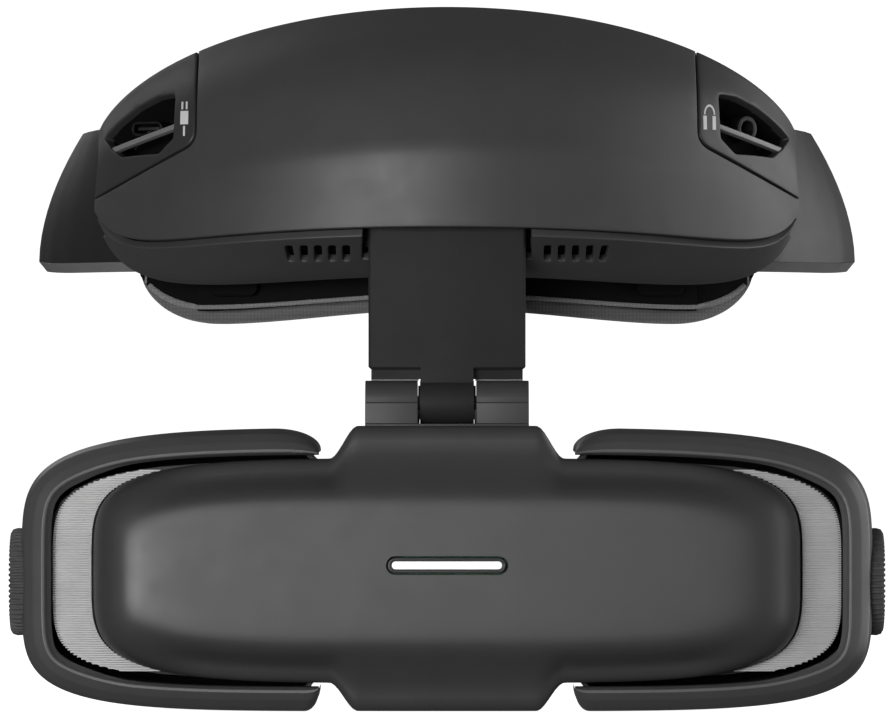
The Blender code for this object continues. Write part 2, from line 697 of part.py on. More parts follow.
def chassis(visor):
    inset = 0.8  # of its tabs inside the cover's
    xs = [0.0, 18.6, 20.2, 21.7, 23.2, 24.8, 38.0, 52.0]
    outline = [(x, VISOR_Z + z) for x, z in
               superellipse_outline(CHASSIS_A, CHASSIS_B, RIM_N, xs, 7,
                                    tab_shape(TAB_RISE - inset, TAB_FOOT - inset),
                                    tab_shape(LOWER_TAB_RISE - inset, TAB_FOOT - inset))]
    plate = add_piece("visor_chassis", prism_body(outline, -47.0, -44.9), "dark_shell", visor)
    for i, x in enumerate((-58.0, 58.0)):
        for j, rise in enumerate((-ROD_DZ, ROD_DZ)):
            z = VISOR_Z + rise
            holder = as_cutter(add_piece("rod_holder_{}_{}".format(i, j),
                                         box_body((x - 2, x + 2), (-45.5, -38.0), (z - 2.3, z + 2.3)),
                                         "shell", visor))
            boolean(plate, holder, "UNION")
    for j, rise in enumerate((-ROD_DZ, ROD_DZ)):
        hole = as_cutter(add_piece("rod_hole_{}".format(j), rod_body(ROD_R + 0.35, -70, 70, "X"),
                                   "shell", visor, (0, ROD_Y, VISOR_Z + rise)))
        boolean(plate, hole)
    add_piece("guide_rod_lower", rod_body(ROD_R, -61, 61, "X", 16), "steel", visor,
              (0, ROD_Y, VISOR_Z - ROD_DZ))
    add_piece("guide_rod_upper", rod_body(ROD_R, -61, 61, "X", 16), "steel", visor,
              (0, ROD_Y, VISOR_Z + ROD_DZ))
    add_piece("driver_board", box_body((-9.6, 9.6), (-43.9, -42.3), (-52, -21)), "board", visor)


def rear_ring(inset, y):
    """The visor's rear outline: low behind the hinge, stepping up to the rims at the sides."""
    a, b = REAR_A - inset, REAR_B - inset

    def step(x):
        return -REAR_STEP * smooth_step((34.2 - x) / 5.0)

    xs = [x * (a / REAR_A if x > 35 else 1) for x in REAR_FLAT_XS]
    return [(x, y, VISOR_Z + z) for x, z in
            superellipse_outline(a, b, RIM_N, xs, 7, step, step)]


def visor_rear_shell(visor, dial_room):
    rings = [rear_ring(0, -44.5), rear_ring(0, -26.0), rear_ring(1.9, -21.9),
             rear_ring(5.9, VISOR_BACK_Y)]
    shell = add_piece("visor_rear_shell", ringed_sheet(rings), "dark_shell", visor)
    solidify(shell, THIN_WALL)
    for side, label in ((-1, "left"), (1, "right")):
        hole = as_cutter(add_piece("eye_hole_" + label, prism_body(stadium(38.8, 32.3, 11), -30, -10),
                                   "shell", visor, (side * IPD_HALF, 0, VISOR_Z)))
        boolean(shell, hole)
        boolean(shell, dial_room[side])
    return shell


def rim_stations():
    """Outer points of the right rim and their inward normals, from its upper end to its lower."""
    xs = [RIM_END_X, 28.5, 30.2, 32.0, 34.5, 43.0, 54.0]
    flat = [(x, RIM_B * (1 - (x / RIM_A) ** RIM_N) ** (1 / RIM_N)) for x in xs]
    start = math.acos((xs[-1] / RIM_A) ** (RIM_N / 2))
    steps = 7
    for step in range(1, steps):
        angle = start * (1 - step / steps)
        flat.append((RIM_A * math.cos(angle) ** (2 / RIM_N), RIM_B * math.sin(angle) ** (2 / RIM_N)))
    points = flat + [(RIM_A, 0.0)] + [(x, -z) for x, z in reversed(flat)]
    stations = []
    for x, z in points:
        gx = -abs(x / RIM_A) ** (RIM_N - 1) / RIM_A
        gz = -math.copysign(abs(z / RIM_B) ** (RIM_N - 1) / RIM_B, z)
        length = math.hypot(gx, gz)
        stations.append((x, z, gx / length, gz / length))
    return stations


RIM_PROFILE = [(0, -22.0), (0, -45.5), (0.6, -48.6), (2.2, -50.9), (4.2, -52.4), (5.0, -52.4), (5.6, -50.6),
               (5.6, -47.4), (2.2, -45.3), (2.2, -20.6), (0.6, -20.6)]
RIM_WIDTH = 5.6


def rims(visor, dial_room):
    for side, label in ((-1, "left"), (1, "right")):
        sections = []
        for x, z, nx, nz in rim_stations():
            end_round = RIM_END_ROUND if z > 0 else LOWER_RIM_END_ROUND
            share = min(1.0, max(0.0, (RIM_END_X + end_round - x) / end_round))
            cut = (RIM_WIDTH - 0.9) * (1 - math.sqrt(1 - share ** 2))
            ring = []
            for depth, y in RIM_PROFILE:
                inset = cut + depth * (RIM_WIDTH - cut) / RIM_WIDTH
                ring.append((side * (x + nx * inset), y, VISOR_Z + z + nz * inset))
            sections.append(ring)
        rim = add_piece("side_rim_" + label, skin_body(sections), "visor", visor)
        boolean(rim, dial_room[side])


def side_panels(visor):
    """The crescent panels between the cover's ends and the rims."""
    def edge(a, b, n, z):
        return a * (1 - (abs(z) / b) ** n) ** (1 / n)
    steps = 18
    for side, label in ((-1, "left"), (1, "right")):
        sections = []
        for i in range(steps + 1):
            z = 22.0 * math.sin(math.pi / 2 * (2 * i / steps - 1))
            near = edge(COVER_A, COVER_B, COVER_N, z) + 0.6
            far = edge(CHASSIS_A - 0.2, CHASSIS_B, RIM_N, z)
            sections.append([(side * near, -47.4, VISOR_Z + z), (side * near, -49.0, VISOR_Z + z),
                             (side * far, -48.4, VISOR_Z + z), (side * far, -47.4, VISOR_Z + z)])
        add_piece("side_panel_" + label, skin_body(sections), "panel", visor)


# Optics and focus dials, one set for each eye

def toothed_disc(radius, depth, teeth, start, end, axis):
    """A dial with a coin edge of trapezoid teeth."""
    outline = []
    for i in range(teeth):
        for share, r in ((0.0, radius - depth), (0.25, radius), (0.5, radius), (0.75, radius - depth)):
            angle = 2 * math.pi * (i + share) / teeth
            outline.append((r * math.cos(angle), r * math.sin(angle)))
    return prism_body(outline, start, end, axis)


def pinion_outline(root_r, tip_r, teeth):
    outline = []
    for i in range(teeth):
        for share, r in ((-0.17, root_r), (-0.08, tip_r), (0.08, tip_r), (0.17, root_r)):
            angle = 2 * math.pi * (i + share + 0.25 * teeth) / teeth
            outline.append((r * math.cos(angle), r * math.sin(angle)))
    return outline


def rack_outline(y_from, y_to, phase_y):
    """A rack seen along x, as (y, z): its back above, its teeth down round phase_y in mesh."""
    pitch_z = DIAL_Z + PINION_PITCH_R
    pitch = 2 * math.pi * PINION_PITCH_R / PINION_TEETH
    root, tip = pitch_z + 1.3, pitch_z - 0.6
    outline = [(y_to, pitch_z + 3.4), (y_from, pitch_z + 3.4), (y_from, root)]
    first = math.ceil((y_from + 0.9 - phase_y) / pitch - 0.5)
    k = first
    while phase_y + (k + 0.5) * pitch < y_to - 0.9:
        middle = phase_y + (k + 0.5) * pitch
        outline += [(middle - 0.75, root), (middle - 0.3, tip), (middle + 0.3, tip), (middle + 0.75, root)]
        k += 1
    return outline + [(y_to, root)]


def optics(side, label, carriage, knob, lens):
    centre = side * IPD_HALF
    inner, outer = sorted((centre - side * 18.0, centre + side * 22.5))
    body = add_piece("optic_carriage_" + label,
                     box_body((inner, outer), (-43.9, -41.6), (VISOR_Z - 16.0, VISOR_Z + 16.0)),
                     "dark_shell", carriage)
    for rise, place in ((-1, "low"), (1, "high")):
        z = sorted((VISOR_Z + rise * 15.0, VISOR_Z + rise * 21.4))
        lug = as_cutter(add_piece("lug_{}_{}".format(place, label),
                                  box_body((centre - 7, centre + 7), (-43.6, -37.6), z), "shell", carriage))
        boolean(body, lug, "UNION")
    sleeve = as_cutter(add_piece("sleeve_" + label, rod_body(BARREL_R + 1.8, -42.9, -32.0, sides=32), "shell",
                                 carriage, (centre, 0, VISOR_Z)))
    boolean(body, sleeve, "UNION")
    ear_x = sorted((centre + side * 19.2, centre + side * 22.2))
    ear = as_cutter(add_piece("shaft_ear_" + label,
                              box_body(ear_x, (-42.7, -31.5), (DIAL_Z - 4.3, DIAL_Z + 4.1)), "shell", carriage))
    boolean(body, ear, "UNION")
    bore = as_cutter(add_piece("sleeve_bore_" + label, rod_body(BARREL_R + 0.4, -41.45, -20, sides=32), "shell",
                               carriage, (centre, 0, VISOR_Z)))
    boolean(body, bore)
    slot_x = sorted((centre + side * 13.0, centre + side * 18.9))
    slot = as_cutter(add_piece("rack_slot_" + label,
                               box_body(slot_x, (-41.3, -20), (DIAL_Z - 5.6, DIAL_Z + 8.4)), "shell", carriage))
    boolean(body, slot)
    hole = as_cutter(add_piece("shaft_hole_" + label, rod_body(2.4, *sorted((side * 45, side * 60)), "X"),
                               "shell", carriage, (0, DIAL_Y, DIAL_Z)))
    boolean(body, hole)
    for rise, place in ((-1, "low"), (1, "high")):
        hole = as_cutter(add_piece("lug_hole_{}_{}".format(place, label),
                                   rod_body(ROD_R + 0.35, *sorted((side * 10, side * 60)), "X"),
                                   "shell", carriage, (0, ROD_Y, VISOR_Z + rise * ROD_DZ)))
        boolean(body, hole)
    add_piece("microdisplay_" + label,
              box_body((centre - 8, centre + 8), (-41.2, -39.9), (VISOR_Z - 6, VISOR_Z + 6)), "glass", carriage)

    rack_x = sorted((side * 15.6, side * 18.6))
    barrel = add_piece("lens_barrel_" + label, tube_body(13.4, BARREL_R, -37.5, -13.0, sides=32),
                       "dark_shell", lens, (centre, 0, VISOR_Z))
    link = as_cutter(add_piece("rack_link_" + label,
                               box_body(sorted((side * 14.2, side * 16.0)), (-37.0, -29.0),
                                        (DIAL_Z + 5.4 - VISOR_Z, DIAL_Z + 7.2 - VISOR_Z)), "shell",
                               lens, (centre, 0, VISOR_Z)))
    boolean(barrel, link, "UNION")
    outline = [(y, z - VISOR_Z) for y, z in rack_outline(-38.9, -29.0, DIAL_Y)]
    rack = as_cutter(add_piece("rack_" + label, prism_body(outline, *rack_x, "X"), "shell", lens,
                               (centre, 0, VISOR_Z)))
    boolean(barrel, rack, "UNION")
    dome = [(-18.6, 0), (-18.4, 7), (-17.6, 13.0), (-15.6, 13.0), (-14.2, 7), (-13.8, 0)]
    add_piece("eyepiece_lens_" + label, turned_body(dome, 28), "glass", lens, (centre, 0, VISOR_Z))
    cup = [(-12.6, 13.2), (-12.6, 16.4), (-8.5, 17.2), (-4.6, 19.6), (-4.0, 18.4), (-8.5, 14.6)]
    add_piece("eyecup_" + label, turned_body(cup, 32), "rubber", lens, (centre, 0, VISOR_Z))

    gear_x = sorted((centre + side * 15.7, centre + side * 18.5))
    shaft = add_piece("focus_shaft_" + label,
                      rod_body(2.0, *sorted((centre + side * 15.9, side * (DIAL_X[0] + 1.4))), "X", 16),
                      "steel", knob, (0, DIAL_Y, DIAL_Z))
    gear = as_cutter(add_piece("focus_pinion_" + label,
                               prism_body(pinion_outline(PINION_PITCH_R - 1.1, PINION_PITCH_R + 0.75,
                                                         PINION_TEETH), *gear_x, "X"), "shell", knob,
                               (0, DIAL_Y, DIAL_Z)))
    boolean(shaft, gear, "UNION")
    dial = add_piece("focus_dial_" + label,
                     toothed_disc(DIAL_R, 0.6, 36, *sorted((side * DIAL_X[0], side * DIAL_X[1])), "X"),
                     "rubber", knob, (0, DIAL_Y, DIAL_Z))
    socket = as_cutter(add_piece("dial_socket_" + label,
                                 rod_body(2.4, *sorted((side * 85, side * (DIAL_X[0] + 2.0))), "X"), "shell",
                                 knob, (0, DIAL_Y, DIAL_Z)))
    boolean(dial, socket)


def build():
    root = axis_empty("goggles", (0, 0, -CUSHION_RISE))
    shell = housing_front(root)
    port_bezels(root, shell)
    lower_cover(root)
    wall = rear_wall(root)
    plate_guide(root)
    electronics(root)
    forehead_pad(root)
    arms(root, wall)

    band = axis_empty("band_slide", (0, REAR_PAD_Y, 43), root)
    dial = axis_empty("adjuster_axis", (0, REAR_PAD_Y, 43), band)
    rear_unit(band, dial)

    plate = axis_empty("height_slide", (0, HINGE_Y, 0), root)
    hinge_plate(plate)
    visor = axis_empty("visor_hinge", (0, HINGE_Y, 0), plate)
    hinge_bracket(visor)
    front_cover(visor)
    light_bar(visor)
    chassis(visor)
    dial_room = {side: as_cutter(add_piece("dial_room_" + label,
                                           rod_body(DIAL_R + 0.55, *sorted((side * 84, side * 100)), "X", 40),
                                           "shell", visor, (0, DIAL_Y, DIAL_Z)))
                 for side, label in ((-1, "left"), (1, "right"))}
    visor_rear_shell(visor, dial_room)
    rims(visor, dial_room)
    side_panels(visor)
    for side, label in ((-1, "left"), (1, "right")):
        carriage = axis_empty("ipd_slide_" + label, (side * IPD_HALF, DIAL_Y, VISOR_Z), visor)
        knob = axis_empty("focus_axis_" + label, (side * IPD_HALF, DIAL_Y, DIAL_Z), carriage)
        lens = axis_empty("lens_slide_" + label, (side * IPD_HALF, DIAL_Y, VISOR_Z), carriage)
        optics(side, label, carriage, knob, lens)


clear_scene()
PARTS = new_collection("fpv_goggles")
CUTTERS = new_collection("cutters")
build()
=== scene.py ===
"""The looks of the FPV goggles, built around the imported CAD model.

Lengths are in millimetres and heights are measured from the visor hinge's axis, as on the object's
drawings. place_point() turns them into the frame's metres.
"""

import json
import math

import bmesh
import bpy
import numpy as np
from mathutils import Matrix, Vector, geometry

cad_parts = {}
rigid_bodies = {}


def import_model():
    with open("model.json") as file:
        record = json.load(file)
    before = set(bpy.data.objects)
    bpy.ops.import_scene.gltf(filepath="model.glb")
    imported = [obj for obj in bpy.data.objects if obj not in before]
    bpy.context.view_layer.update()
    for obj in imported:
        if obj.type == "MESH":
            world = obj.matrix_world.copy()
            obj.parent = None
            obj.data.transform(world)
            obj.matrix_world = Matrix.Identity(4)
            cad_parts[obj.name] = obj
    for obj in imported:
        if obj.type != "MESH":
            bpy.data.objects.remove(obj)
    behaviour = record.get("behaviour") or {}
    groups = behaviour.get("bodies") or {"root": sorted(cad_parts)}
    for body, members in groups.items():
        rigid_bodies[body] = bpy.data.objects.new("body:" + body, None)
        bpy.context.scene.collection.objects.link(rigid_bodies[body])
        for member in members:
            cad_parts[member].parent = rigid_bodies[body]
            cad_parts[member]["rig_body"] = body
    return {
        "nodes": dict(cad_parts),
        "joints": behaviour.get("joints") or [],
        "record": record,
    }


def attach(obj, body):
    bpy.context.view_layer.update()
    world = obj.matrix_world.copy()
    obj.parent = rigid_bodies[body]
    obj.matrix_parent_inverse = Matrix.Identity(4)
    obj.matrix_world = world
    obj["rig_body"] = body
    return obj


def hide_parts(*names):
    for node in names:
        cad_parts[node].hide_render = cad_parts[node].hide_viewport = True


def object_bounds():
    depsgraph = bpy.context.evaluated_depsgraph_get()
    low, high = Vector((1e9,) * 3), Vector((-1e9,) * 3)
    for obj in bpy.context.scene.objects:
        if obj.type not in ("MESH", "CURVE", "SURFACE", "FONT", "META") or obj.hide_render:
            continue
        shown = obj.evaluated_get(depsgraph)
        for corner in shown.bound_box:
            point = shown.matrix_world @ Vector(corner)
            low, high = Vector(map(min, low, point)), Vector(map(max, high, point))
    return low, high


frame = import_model()


def plain_box():
    """The whole object's box as plain lists."""
    return [[float(value) for value in corner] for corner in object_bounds()]


CAD_BOX = plain_box()
MM = 0.001
JOINTS = {joint["name"]: joint for joint in frame["joints"]}
HINGE = Vector(JOINTS["visor_flip"]["pos_m"]) / MM  # the hinge axis in the frame, in mm
HINGE_Y = HINGE.y
SIDES = ((-1, "left"), (1, "right"))


def place_point(point):
    x, y, z = point
    return Vector((x, y, z + HINGE.z)) * MM


# ---------------------------------------------------------------- materials

def node_material(name, colour, roughness, metallic=0.0):
    material = bpy.data.materials.new(name)
    material.use_nodes = True
    tree = material.node_tree
    shader = tree.nodes["Principled BSDF"]
    shader.inputs["Base Color"].default_value = (*colour, 1)
    shader.inputs["Roughness"].default_value = roughness
    shader.inputs["Metallic"].default_value = metallic
    return material, tree, shader


def new_node(tree, kind, **settings):
    node = tree.nodes.new(kind)
    for name, value in settings.items():
        if name in node.inputs:
            node.inputs[name].default_value = value
        else:
            setattr(node, name, value)
    return node


def noise(tree, scale, detail=3.0, roughness=0.55):
    """A noise texture in object coordinates. Its scale is in features per metre."""
    where = new_node(tree, "ShaderNodeTexCoord")
    texture = new_node(tree, "ShaderNodeTexNoise", Scale=scale, Detail=detail, Roughness=roughness)
    tree.links.new(where.outputs["Object"], texture.inputs["Vector"])
    return texture


def ramp(tree, source, low, high, start=0.3, end=0.7):
    """Maps a grey value to between two colours or two greys."""
    node = new_node(tree, "ShaderNodeValToRGB")
    node.color_ramp.elements[0].position = start
    node.color_ramp.elements[1].position = end
    node.color_ramp.elements[0].color = (*low, 1)
    node.color_ramp.elements[1].color = (*high, 1)
    tree.links.new(source, node.inputs["Fac"])
    return node.outputs["Color"]


def bump(tree, shader, source, strength, distance):
    node = new_node(tree, "ShaderNodeBump", Strength=strength, Distance=distance)
    tree.links.new(source, node.inputs["Height"])
    tree.links.new(node.outputs["Normal"], shader.inputs["Normal"])


def moulded_plastic(name, colour, roughness, grain=5200, depth=0.00002, spread=0.05, gloss=0.5):
    """Charcoal plastic: fine moulded grain, slight mottling in tone and gloss."""
    material, tree, shader = node_material(name, colour, roughness)
    mottle = noise(tree, 140, 4.0)
    low = tuple(value * (1 - spread) for value in colour)
    high = tuple(value * (1 + spread) for value in colour)
    tree.links.new(ramp(tree, mottle.outputs["Fac"], low, high), shader.inputs["Base Color"])
    smear = noise(tree, 160, 5.0, 0.65)
    tree.links.new(ramp(tree, smear.outputs["Fac"], (roughness - 0.03,) * 3, (roughness + 0.03,) * 3),
                   shader.inputs["Roughness"])
    bump(tree, shader, noise(tree, grain, 2.0).outputs["Fac"], 0.35, depth)
    shader.inputs["Specular IOR Level"].default_value = gloss
    return material


def woven_fabric(name, colour, pitch):
    """A tight knit: crossed waves raise the yarns, with fuzz and sheen."""
    material, tree, shader = node_material(name, colour, 0.92)
    where = new_node(tree, "ShaderNodeTexCoord")
    waves = []
    for direction in ("X", "Z"):
        wave = new_node(tree, "ShaderNodeTexWave", Scale=0.32 / pitch, Distortion=1.2, Detail=1.0,
                        wave_type="BANDS", bands_direction=direction)
        wave.inputs["Detail Scale"].default_value = 2.0
        tree.links.new(where.outputs["Object"], wave.inputs["Vector"])
        waves.append(wave)
    weave = new_node(tree, "ShaderNodeMath", operation="MULTIPLY")
    tree.links.new(waves[0].outputs["Fac"], weave.inputs[0])
    tree.links.new(waves[1].outputs["Fac"], weave.inputs[1])
    dark = tuple(value * 0.85 for value in colour)
    light = tuple(value * 1.15 for value in colour)
    tree.links.new(ramp(tree, weave.outputs["Value"], dark, light, 0.05, 0.7), shader.inputs["Base Color"])
    fuzz = noise(tree, 3000, 4.0)
    height_sum = new_node(tree, "ShaderNodeMath", operation="ADD")
    tree.links.new(weave.outputs["Value"], height_sum.inputs[0])
    tree.links.new(fuzz.outputs["Fac"], height_sum.inputs[1])
    bump(tree, shader, height_sum.outputs["Value"], 0.6, 0.00012)
    shader.inputs["Sheen Weight"].default_value = 0.35
    shader.inputs["Sheen Roughness"].default_value = 0.5
    return material


def soft_rubber(name, colour):
    material, tree, shader = node_material(name, colour, 0.7)
    dust = noise(tree, 700, 5.0, 0.7)
    high = tuple(value * 1.5 + 0.004 for value in colour)
    tree.links.new(ramp(tree, dust.outputs["Fac"], colour, high, 0.45, 0.8), shader.inputs["Base Color"])
    bump(tree, shader, noise(tree, 2600, 3.0).outputs["Fac"], 0.3, 0.00003)
    shader.inputs["Specular IOR Level"].default_value = 0.35
    return material


def bare_metal(name, colour, roughness):
    material, tree, shader = node_material(name, colour, roughness, 1.0)
    streaks = noise(tree, 900, 4.0)
    tree.links.new(ramp(tree, streaks.outputs["Fac"], (roughness * 0.75,) * 3, (roughness * 1.35,) * 3),
                   shader.inputs["Roughness"])
    bump(tree, shader, noise(tree, 3800, 2.0).outputs["Fac"], 0.15, 0.00001)
    return material


def coated_glass(name, colour, transmission, roughness=0.04):
    """Lens or display glass with a clear coat."""
    material, tree, shader = node_material(name, colour, roughness)
    haze = noise(tree, 400, 3.0)
    deep = tuple(value * 0.96 for value in colour)
    tree.links.new(ramp(tree, haze.outputs["Fac"], deep, colour), shader.inputs["Base Color"])
    shader.inputs["Transmission Weight"].default_value = transmission
    shader.inputs["IOR"].default_value = 1.52
    shader.inputs["Coat Weight"].default_value = 0.6
    shader.inputs["Coat Roughness"].default_value = 0.03
    return material


def circuit_board(name):
    material, tree, shader = node_material(name, (0.02, 0.10, 0.05), 0.45)
    traces = new_node(tree, "ShaderNodeTexBrick", Scale=420.0)
    where = new_node(tree, "ShaderNodeTexCoord")
    tree.links.new(where.outputs["Object"], traces.inputs["Vector"])
    traces.inputs["Color1"].default_value = (0.015, 0.09, 0.045, 1)
    traces.inputs["Color2"].default_value = (0.02, 0.12, 0.06, 1)
    traces.inputs["Mortar"].default_value = (0.10, 0.28, 0.14, 1)
    tree.links.new(traces.outputs["Color"], shader.inputs["Base Color"])
    return material


def light_diffuser(name):
    material, tree, shader = node_material(name, (0.93, 0.94, 0.95), 0.35)
    cloud = noise(tree, 300, 2.0)
    tree.links.new(ramp(tree, cloud.outputs["Fac"], (0.90, 0.91, 0.92), (0.96, 0.97, 0.98)),
                   shader.inputs["Base Color"])
    shader.inputs["Emission Color"].default_value = (1, 1, 1, 1)
    shader.inputs["Emission Strength"].default_value = 0.55
    return material


MATERIALS = {
    "charcoal_shell": moulded_plastic("charcoal_shell", (0.052, 0.052, 0.052), 0.5),
    "black_plastic": moulded_plastic("black_plastic", (0.013, 0.013, 0.013), 0.5, 4200, 0.00003),
    "visor_plastic": moulded_plastic("visor_plastic", (0.045, 0.045, 0.045), 0.44, 6000, 0.000012),
    "rim_plastic": moulded_plastic("rim_plastic", (0.07, 0.07, 0.07), 0.42, 6000, 0.000012),
    "grey_panel": moulded_plastic("grey_panel", (0.55, 0.55, 0.55), 0.42, 5000, 0.00001, 0.06),
    "rubber": soft_rubber("rubber", (0.07, 0.07, 0.07)),
    "pad_fabric": woven_fabric("pad_fabric", (0.13, 0.13, 0.13), 0.0008),
    "steel": bare_metal("steel", (0.58, 0.58, 0.60), 0.3),
    "aluminium": bare_metal("aluminium", (0.62, 0.62, 0.64), 0.42),
    "light_diffuser": light_diffuser("light_diffuser"),
    "lens_glass": coated_glass("lens_glass", (0.80, 0.86, 0.92), 0.85),
    "display_glass": coated_glass("display_glass", (0.012, 0.012, 0.02), 0.0, 0.12),
    "circuit_board": circuit_board("circuit_board"),
    "dark_steel": bare_metal("dark_steel", (0.05, 0.05, 0.052), 0.4),
    # darker than the shell plastic they are moulded in: painted shade on the port bezels
    "bezel_plastic_painted_shade": moulded_plastic("bezel_plastic_painted_shade", (0.032, 0.032, 0.032), 0.46),
    "plate_plastic": moulded_plastic("plate_plastic", (0.024, 0.024, 0.024), 0.6, gloss=0.15),
    # near-black: the port tubs' own colour, and painted shade on the sheets and parts in the gaps under the
    # housing
    "deep_black": moulded_plastic("deep_black", (0.006, 0.006, 0.006), 0.8, 4200, gloss=0.05),
    # pale grey: the port bars' own colour, and painted highlights on the plate lip and the arm chamfers
    "grey_trim_and_highlight": moulded_plastic("grey_trim_and_highlight", (0.20, 0.20, 0.20), 0.4, 5000, 0.00001),
    "white_print": moulded_plastic("white_print", (0.72, 0.72, 0.72), 0.5, 5000, 0.000005, 0.04),
    "piping": woven_fabric("piping", (0.22, 0.22, 0.22), 0.0009),
}


# ---------------------------------------------------------------- curves

def smooth_step(value):
    value = min(1.0, max(0.0, value))
    return value * value * (3 - 2 * value)


def spline_point(points, t):
    """The point at t, 0 to 1, on a Catmull-Rom curve through points."""
    spans = len(points) - 1
    place = min(max(t, 0) * spans, spans - 1e-9)
    i = int(place)
    f = place - i
    b, c = Vector(points[i]), Vector(points[i + 1])
    a = Vector(points[i - 1]) if i > 0 else 2 * b - c
    d = Vector(points[i + 2]) if i + 2 <= spans else 2 * c - b
    return 0.5 * (2 * b + (c - a) * f + (2 * a - 5 * b + 4 * c - d) * f ** 2
                  + (3 * b - a - 3 * c + d) * f ** 3)


def both_sides(points):
    return [(-x, y, z) for x, y, z in reversed(points[1:])] + points


def read_row(points, x):
    """The point of a row of control points at a given x, found by bisection."""
    low, high = 0.0, 1.0
    for _ in range(30):
        middle = (low + high) / 2
        if spline_point(points, middle).x < abs(x):
            low = middle
        else:
            high = middle
    return spline_point(points, low)


def rounded_path(points, radius, steps=5, closed=True):
    """A polyline whose corners are rounded. A point's third value is its own radius."""
    result = []
    for i, point in enumerate(points):
        corner = Vector(point[:2])
        if not closed and i in (0, len(points) - 1):
            result.append(corner)
            continue
        before = Vector(points[i - 1][:2]) - corner
        after = Vector(points[(i + 1) % len(points)][:2]) - corner
        wanted = point[2] if len(point) > 2 else radius
        cut = min(wanted / math.tan(before.angle(after) / 2), before.length * 0.48, after.length * 0.48)
        if cut < 0.01:
            result.append(corner)
            continue
        start, end = corner + before.normalized() * cut, corner + after.normalized() * cut
        for k in range(steps + 1):
            t = k / steps
            result.append(start * (1 - t) ** 2 + corner * 2 * t * (1 - t) + end * t ** 2)
    return result


def stadium(width, height, steps=16):
    radius = height / 2
    reach = width / 2 - radius
    points = []
    for side, turn in ((1, -math.pi / 2), (-1, math.pi / 2)):
        for step in range(steps + 1):
            angle = turn + math.pi * step / steps
            points.append((side * reach + radius * math.cos(angle), radius * math.sin(angle)))
    return points


def resampled(loop, spacing):
    """A closed loop cut into spans of at most the spacing, its own points kept."""
    result = []
    for i, point in enumerate(loop):
        start, end = Vector(point), Vector(loop[(i + 1) % len(loop)])
        pieces = max(1, math.ceil((end - start).length / spacing))
        result += [start.lerp(end, k / pieces) for k in range(pieces)]
    return result


# ---------------------------------------------------------------- meshes, in millimetres

def piece(name, bm, body, slot, nodes=(), material=None, sharp=35):
    """A finished piece from a bmesh: it rides on a body, and stands for CAD nodes if any are named."""
    for vert in bm.verts:
        vert.co = place_point(vert.co)
    mesh = bpy.data.meshes.new(name)
    bm.to_mesh(mesh)
    bm.free()
    obj = bpy.data.objects.new(name, mesh)
    bpy.context.scene.collection.objects.link(obj)
    mesh.materials.append(MATERIALS[material or slot])
    mesh.shade_smooth()
    mesh.set_sharp_from_angle(angle=math.radians(sharp))
    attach(obj, body)
    if nodes:
        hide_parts(*nodes)
    return obj


def settle(obj, sharp=35):
    """Turns the piece's modifiers into plain mesh."""
    evaluated = obj.evaluated_get(bpy.context.evaluated_depsgraph_get())
    mesh = bpy.data.meshes.new_from_object(evaluated)
    obj.modifiers.clear()
    if not mesh.polygons:
        raise ValueError(obj.name + " lost its mesh")
    obj.data = mesh
    mesh.shade_smooth()
    mesh.set_sharp_from_angle(angle=math.radians(sharp))
    return obj


def cutter(bm):
    """A body that only shapes others. It is removed once they are settled."""
    for vert in bm.verts:
        vert.co = place_point(vert.co)
    mesh = bpy.data.meshes.new("cutter")
    bm.to_mesh(mesh)
    bm.free()
    obj = bpy.data.objects.new("cutter", mesh)
    bpy.context.scene.collection.objects.link(obj)
    return obj


def shaped(obj, *cuts, join=(), bevel=0.0, segments=3, sharp=35):
    """Joins and cuts a piece with other bodies, rounds its edges, and settles it."""
    for other, operation in [(body, "UNION") for body in join] + [(body, "DIFFERENCE") for body in cuts]:
        modifier = obj.modifiers.new(operation, "BOOLEAN")
        modifier.operation = operation
        modifier.solver = "MANIFOLD"
        modifier.object = other
    if bevel:
        modifier = obj.modifiers.new("round", "BEVEL")
        modifier.width = bevel * MM
        modifier.segments = segments
        modifier.limit_method = "ANGLE"
        modifier.angle_limit = math.radians(40)
        modifier.harden_normals = False
    settle(obj, sharp)
    for other in (*join, *cuts):
        if other.users_scene:
            spare.append(other)
    return obj


spare = []  # cutters that are still in the scene


def remove_spare():
    for obj in set(spare):
        bpy.data.objects.remove(obj, do_unlink=True)
    spare.clear()


def box_body(x, y, z):
    bm = bmesh.new()
    bmesh.ops.create_cube(bm, size=1)
    for vert in bm.verts:
        vert.co = Vector(span[0] if side < 0 else span[1] for span, side in zip((x, y, z), vert.co))
    return bm


def turn_point(along, radius, angle, axis, centre):
    across, up = radius * math.cos(angle), radius * math.sin(angle)
    point = {"X": (along, across, up), "Y": (across, along, up), "Z": (across, up, along)}[axis]
    return Vector(point) + Vector(centre)


def turned_body(profile, sides=96, axis="Y", centre=(0, 0, 0)):
    """A turned ring or disc from an (along, radius) profile. A radius of 0 closes it on the axis."""
    bm = bmesh.new()
    rings = []
    for along, radius in profile:
        count = 1 if radius < 1e-6 else sides
        rings.append([bm.verts.new(turn_point(along, radius, 2 * math.pi * i / sides, axis, centre))
                      for i in range(count)])
    pairs = list(zip(rings, rings[1:]))
    if len(rings[0]) > 1:
        pairs.append((rings[-1], rings[0]))
    for first, second in pairs:
        for i in range(sides):
            j = (i + 1) % sides
            corners = [first[i % len(first)], first[j % len(first)],
                       second[j % len(second)], second[i % len(second)]]
            bm.faces.new(list(dict.fromkeys(corners)))
    bmesh.ops.recalc_face_normals(bm, faces=bm.faces)
    return bm


def skin_body(sections, closed=True):
    """A surface through closed sections of equal point counts, with flat ends."""
    bm = bmesh.new()
    rings = [[bm.verts.new(point) for point in section] for section in sections]
    count = len(rings[0])
    for first, second in zip(rings, rings[1:]):
        for i in range(count):
            j = (i + 1) % count
            bm.faces.new((first[i], first[j], second[j], second[i]))
    if closed:
        bm.faces.new(rings[0])
        bm.faces.new(rings[-1])
        bmesh.ops.recalc_face_normals(bm, faces=bm.faces)
    return bm


